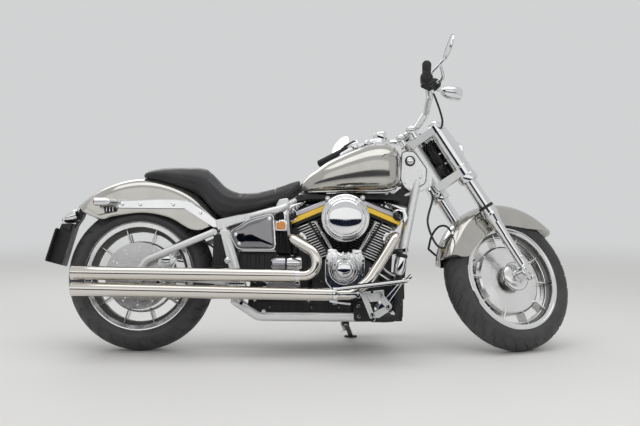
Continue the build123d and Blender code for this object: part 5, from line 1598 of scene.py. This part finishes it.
rearSignal = (((0, 0), (2, 8), (8, 13), (24, 17), (66, 17), (70, 16.5), (70, 15)),
    ((69, 15.4), (74, 12), (77, 6), (77.4, 0)))
makeTail()
makePlate()
makeStruts()
makeCalipers()
makeSignals("rearSignalBullets", "frame", bike, "rear_signals",
            [((-107, side * 200, 635), (-1, 0, 0), *rearSignal,
              ((-84, side * 140, 640), (-120, side * 190, 637)))
             for side in (-1, 1)], "redGlass")
print("tail made")


# wheels, tank top and floorboards
def makeWheelTrim():
    front = Piece("frontWheelTrim", "front_wheel", frontWheel, "polished_wheel", "chrome", "black_rubber")
    rear = Piece("rearWheelTrim", "rear_wheel", rearWheel, "polished_wheel", "chrome", "black_rubber")
    for piece, half in ((front, 66), (rear, 90)):
        right = aim((0, -half, 0), (0, -1, 0))
        if piece is front:
            piece.use("polished_wheel").lathe(((-6, 66), (2, 66), (7, 63), (11, 56), (15, 44), (18, 30),
                (19, 22), (19, 18)), right, 64)
        for spot in circle(36, 5, 6 if piece is rear else 13, 0.25):
            piece.use("chrome").bolt(right @ spot, (0, -1, 0), 5.5, 7)
        for side in (-1, 1):
            wide = 45 if piece is front else 72
            loop = aim((0, side * wide, 0), (0, side, 0))
            piece.use("chrome").lathe(((3.2, 240.4), (5.4, 238), (5.4, 233), (2.4, 229)), loop, 120)
            deep = wide * 0.9
            # a mid-grey liner inside the rim's barrel behind the windows: painted shade of the barrel's inside
            piece.use("windowShade").lathe(((12, 199.2), (deep * 0.38, 199.2), (deep * 0.6, 215.2),
                (deep, 215.2)), aim((0, 0, 0), (0, side, 0)), 120)
            for index in range(10):
                low, high = side * 9, side * wide * 0.62
                piece.use("polished_wheel").slab([(153, -4), (217, -3), (217, 3), (153, 4)], low, high,
                    turned("Y", 36 * index), rim=1.6)
        piece.use("black_rubber").tube(((216, -30, 0), (206, -36, 0), (196, -42, 0)), 3.6, sides=10, steps=1)
        piece.use("chrome").tube(((198, -41, 0), (190, -45, 0)), 4.2, sides=10)
    front.done("polished_wheel")
    rear.done("polished_wheel")


def makeTankTop():
    piece = Piece("tankConsole", "frame", bike, "chrome", "dialBlack", "dialMarks", "black_rubber")
    at = Matrix.Translation((1040, 0, 932)) @ turned("Y", -5.7)
    piece.lathe(((-8, 50), (-4, 52), (2, 52), (5, 51), (10, 49.5), (15, 47), (17, 44), (16, 42.4), (14.5, 42)),
        at, 72)
    piece.use("dialBlack").lathe(((14.8, 42.4), (14.8, 0)), at, 60)
    for index in range(25):
        angle = math.radians(-30 + 240 * index / 24)
        inner = 31 if index % 3 == 0 else 34
        a = at @ Vector((-inner * math.sin(angle), inner * math.cos(angle), 15.2))
        b = at @ Vector((-38 * math.sin(angle), 38 * math.cos(angle), 15.2))
        piece.use("dialMarks").tube((a, b), 0.7 if index % 3 else 1.1, sides=6, steps=1)
    piece.tube((at @ Vector((0, 0, 16.4)), at @ Vector((20, -22, 16.4))), 1.0, sides=6, steps=1)
    piece.use("chrome").lathe(((15, 4), (18, 4), (18.6, 0)), at, 20)
    piece.slab([(876, 868), (990, 926), (990, 934), (960, 932), (880, 884)], -26, 26, rim=3, corner=4)
    for spot, way in (((948, 0, 916), (-0.42, 0, 0.92)), ((1060, -60, 912), (0.05, -0.42, 0.9))):
        at = aim(spot, way)
        piece.use("chrome").lathe(((-6, 30), (2, 30), (5, 33), (13, 33), (17, 30), (19, 22), (20, 0)), at, 44)
    pod = aim((1072, 0, 924), (-0.22, 0, 1))            # the small dial on its post
    piece.lathe(((0, 20), (14, 22), (26, 28), (48, 31), (56, 30), (60, 27), (58, 25.4), (56, 25)), pod, 48)
    piece.use("dialBlack").lathe(((56.4, 25), (56.4, 0)), pod, 40)
    piece.use("dialMarks").tube((pod @ Vector((0, 0, 57.4)), pod @ Vector((12, 14, 57.4))), 0.9, sides=6,
        steps=1)
    piece.done("chrome", "tank_console")


boards = {"rise": 0.1277, "inner": 292, "ribs": 11, "ribPitch": 8.2,
          "edge": ((861, 291), (861, 387), (870, 390), (1136, 390), (1143, 386), (1143, 291)),
          "pads": (("black_rubber", "slab", ((866, 256), (1140, 291), (1140, 302), (866, 267)), 292, 387, 2,
                    0),),
          # the hinge bracket: a plate with two legs, their link and a three-cornered hole between them
          "bracket": (
              ("chrome", "slab", ((862, 250), (1142, 285), (1142, 293), (862, 258)), 386, 390, 1, 0),
              ("silver_frame", "slab", ((958, 250), (1060, 262), (1060, 240), (1040, 214), (1001, 211),
                                        (984, 247)), 281, 289, 2, 4),
              ("silver_frame", "slab", ((960, 248), (984, 250), (1020, 156), (1010, 142), (1002, 144)), 281,
               289, 2, 5),
              ("silver_frame", "slab", ((1036, 260), (1056, 244), (1094, 196), (1090, 182), (1076, 178),
                                        (1046, 212)), 281, 289, 2, 5),
              ("silver_frame", "slab", ((1002, 146), (1016, 168), (1059, 190), (1080, 186), (1084, 176),
                                        (1040, 145)), 281, 289, 2, 5)),
          "pins": ((1012, 154, 1004), (1078, 187, 1060))}


def makeFloorboards():
    piece = Piece("floorboardPads", "frame", bike, "black_rubber", "chrome", "silver_frame")
    for side in (-1, 1):
        piece.draw(boards["pads"], side)
        for index in range(boards["ribs"]):
            y = side * (boards["inner"] + 7 + boards["ribPitch"] * index)
            piece.slab([(884, 268), (1126, 299), (1126, 304.6), (884, 273.6)], y - 2.6, y + 2.6, rim=1)
        rim = [(x, side * y, 260 + (x - 861) * boards["rise"]) for x, y in boards["edge"]]
        piece.use("chrome").tube(rim, 4.6, sides=10, steps=2)
        piece.draw(boards["bracket"], side)
        for x, z, inner in boards["pins"]:
            piece.use("chrome").tube(((x, side * 284, z), (inner, side * 150, z - 8)), 8)
            low = (x - 1000) * 0.12
            piece.tube(((x - 4, side * 284, 252 + low), (x - 4, side * 330, 250 + low)), 6)
        piece.bolts(((1012, 156), (1078, 189)), side * 289, side, 8, 8)
    piece.done("black_rubber", "floorboards", "floorboard_brackets")


def makePedal():
    piece = Piece("brakePedalPad", "frame", bike, "chrome", "black_rubber")
    piece.tube(((1046, -130, 177.8), (1046, -282, 177.8)), 9)
    piece.slab([(1034, 172), (1034, 190), (1130, 300), (1146, 314), (1153, 304), (1140, 292), (1058, 176)],
        -282, -268, rim=3, corner=5)
    piece.slab([(1149, 298), (1170, 322), (1178, 314), (1157, 290)], -320, -255, rim=2.5, corner=4)
    for index in range(4):
        t = index / 3
        piece.use("black_rubber").slab([(1149 + 17 * t, 301 + 19 * t), (1153 + 17 * t, 306 + 19 * t),
            (1151 + 17 * t, 308 + 19 * t), (1147 + 17 * t, 303 + 19 * t)], -318, -257, rim=0.8)
    piece.done("chrome", "brake_pedal")


def makeStandTrim():
    piece = Piece("standSpring", "stand", bike, "chrome", "black_rubber")
    pivot, foot = Vector((913, 184, 129)), Vector((942, 352, 61))
    way = foot - pivot
    turns, points = 11, []
    at = aim(pivot + way * 0.18 + Vector((-20, 0, 8)), way)
    for step in range(turns * 10 + 1):
        angle = 2 * math.pi * step / 10
        points.append(at @ Vector((7 * math.cos(angle), 7 * math.sin(angle), 80 * step / (turns * 10))))
    piece.tube(points, 1.6, sides=6, steps=1)
    piece.tube((at @ Vector((0, 7, 0)), at @ Vector((0, 2, -12))), 1.8, sides=6, steps=1)
    piece.tube((at @ Vector((0, 7, 80)), at @ Vector((8, 6, 96)), at @ Vector((20, 2, 100))), 1.8, sides=6)
    piece.lathe(((0, 0), (0, 11), (3, 11), (6, 7), (6, 0)),
        aim(pivot + Vector((0, 0, 12)), (0.005, 0.51, 0.86)), 24)
    piece.done("chrome")


makeWheelTrim()
makeTankTop()
makeFloorboards()
makePedal()
makeStandTrim()
print("details made")
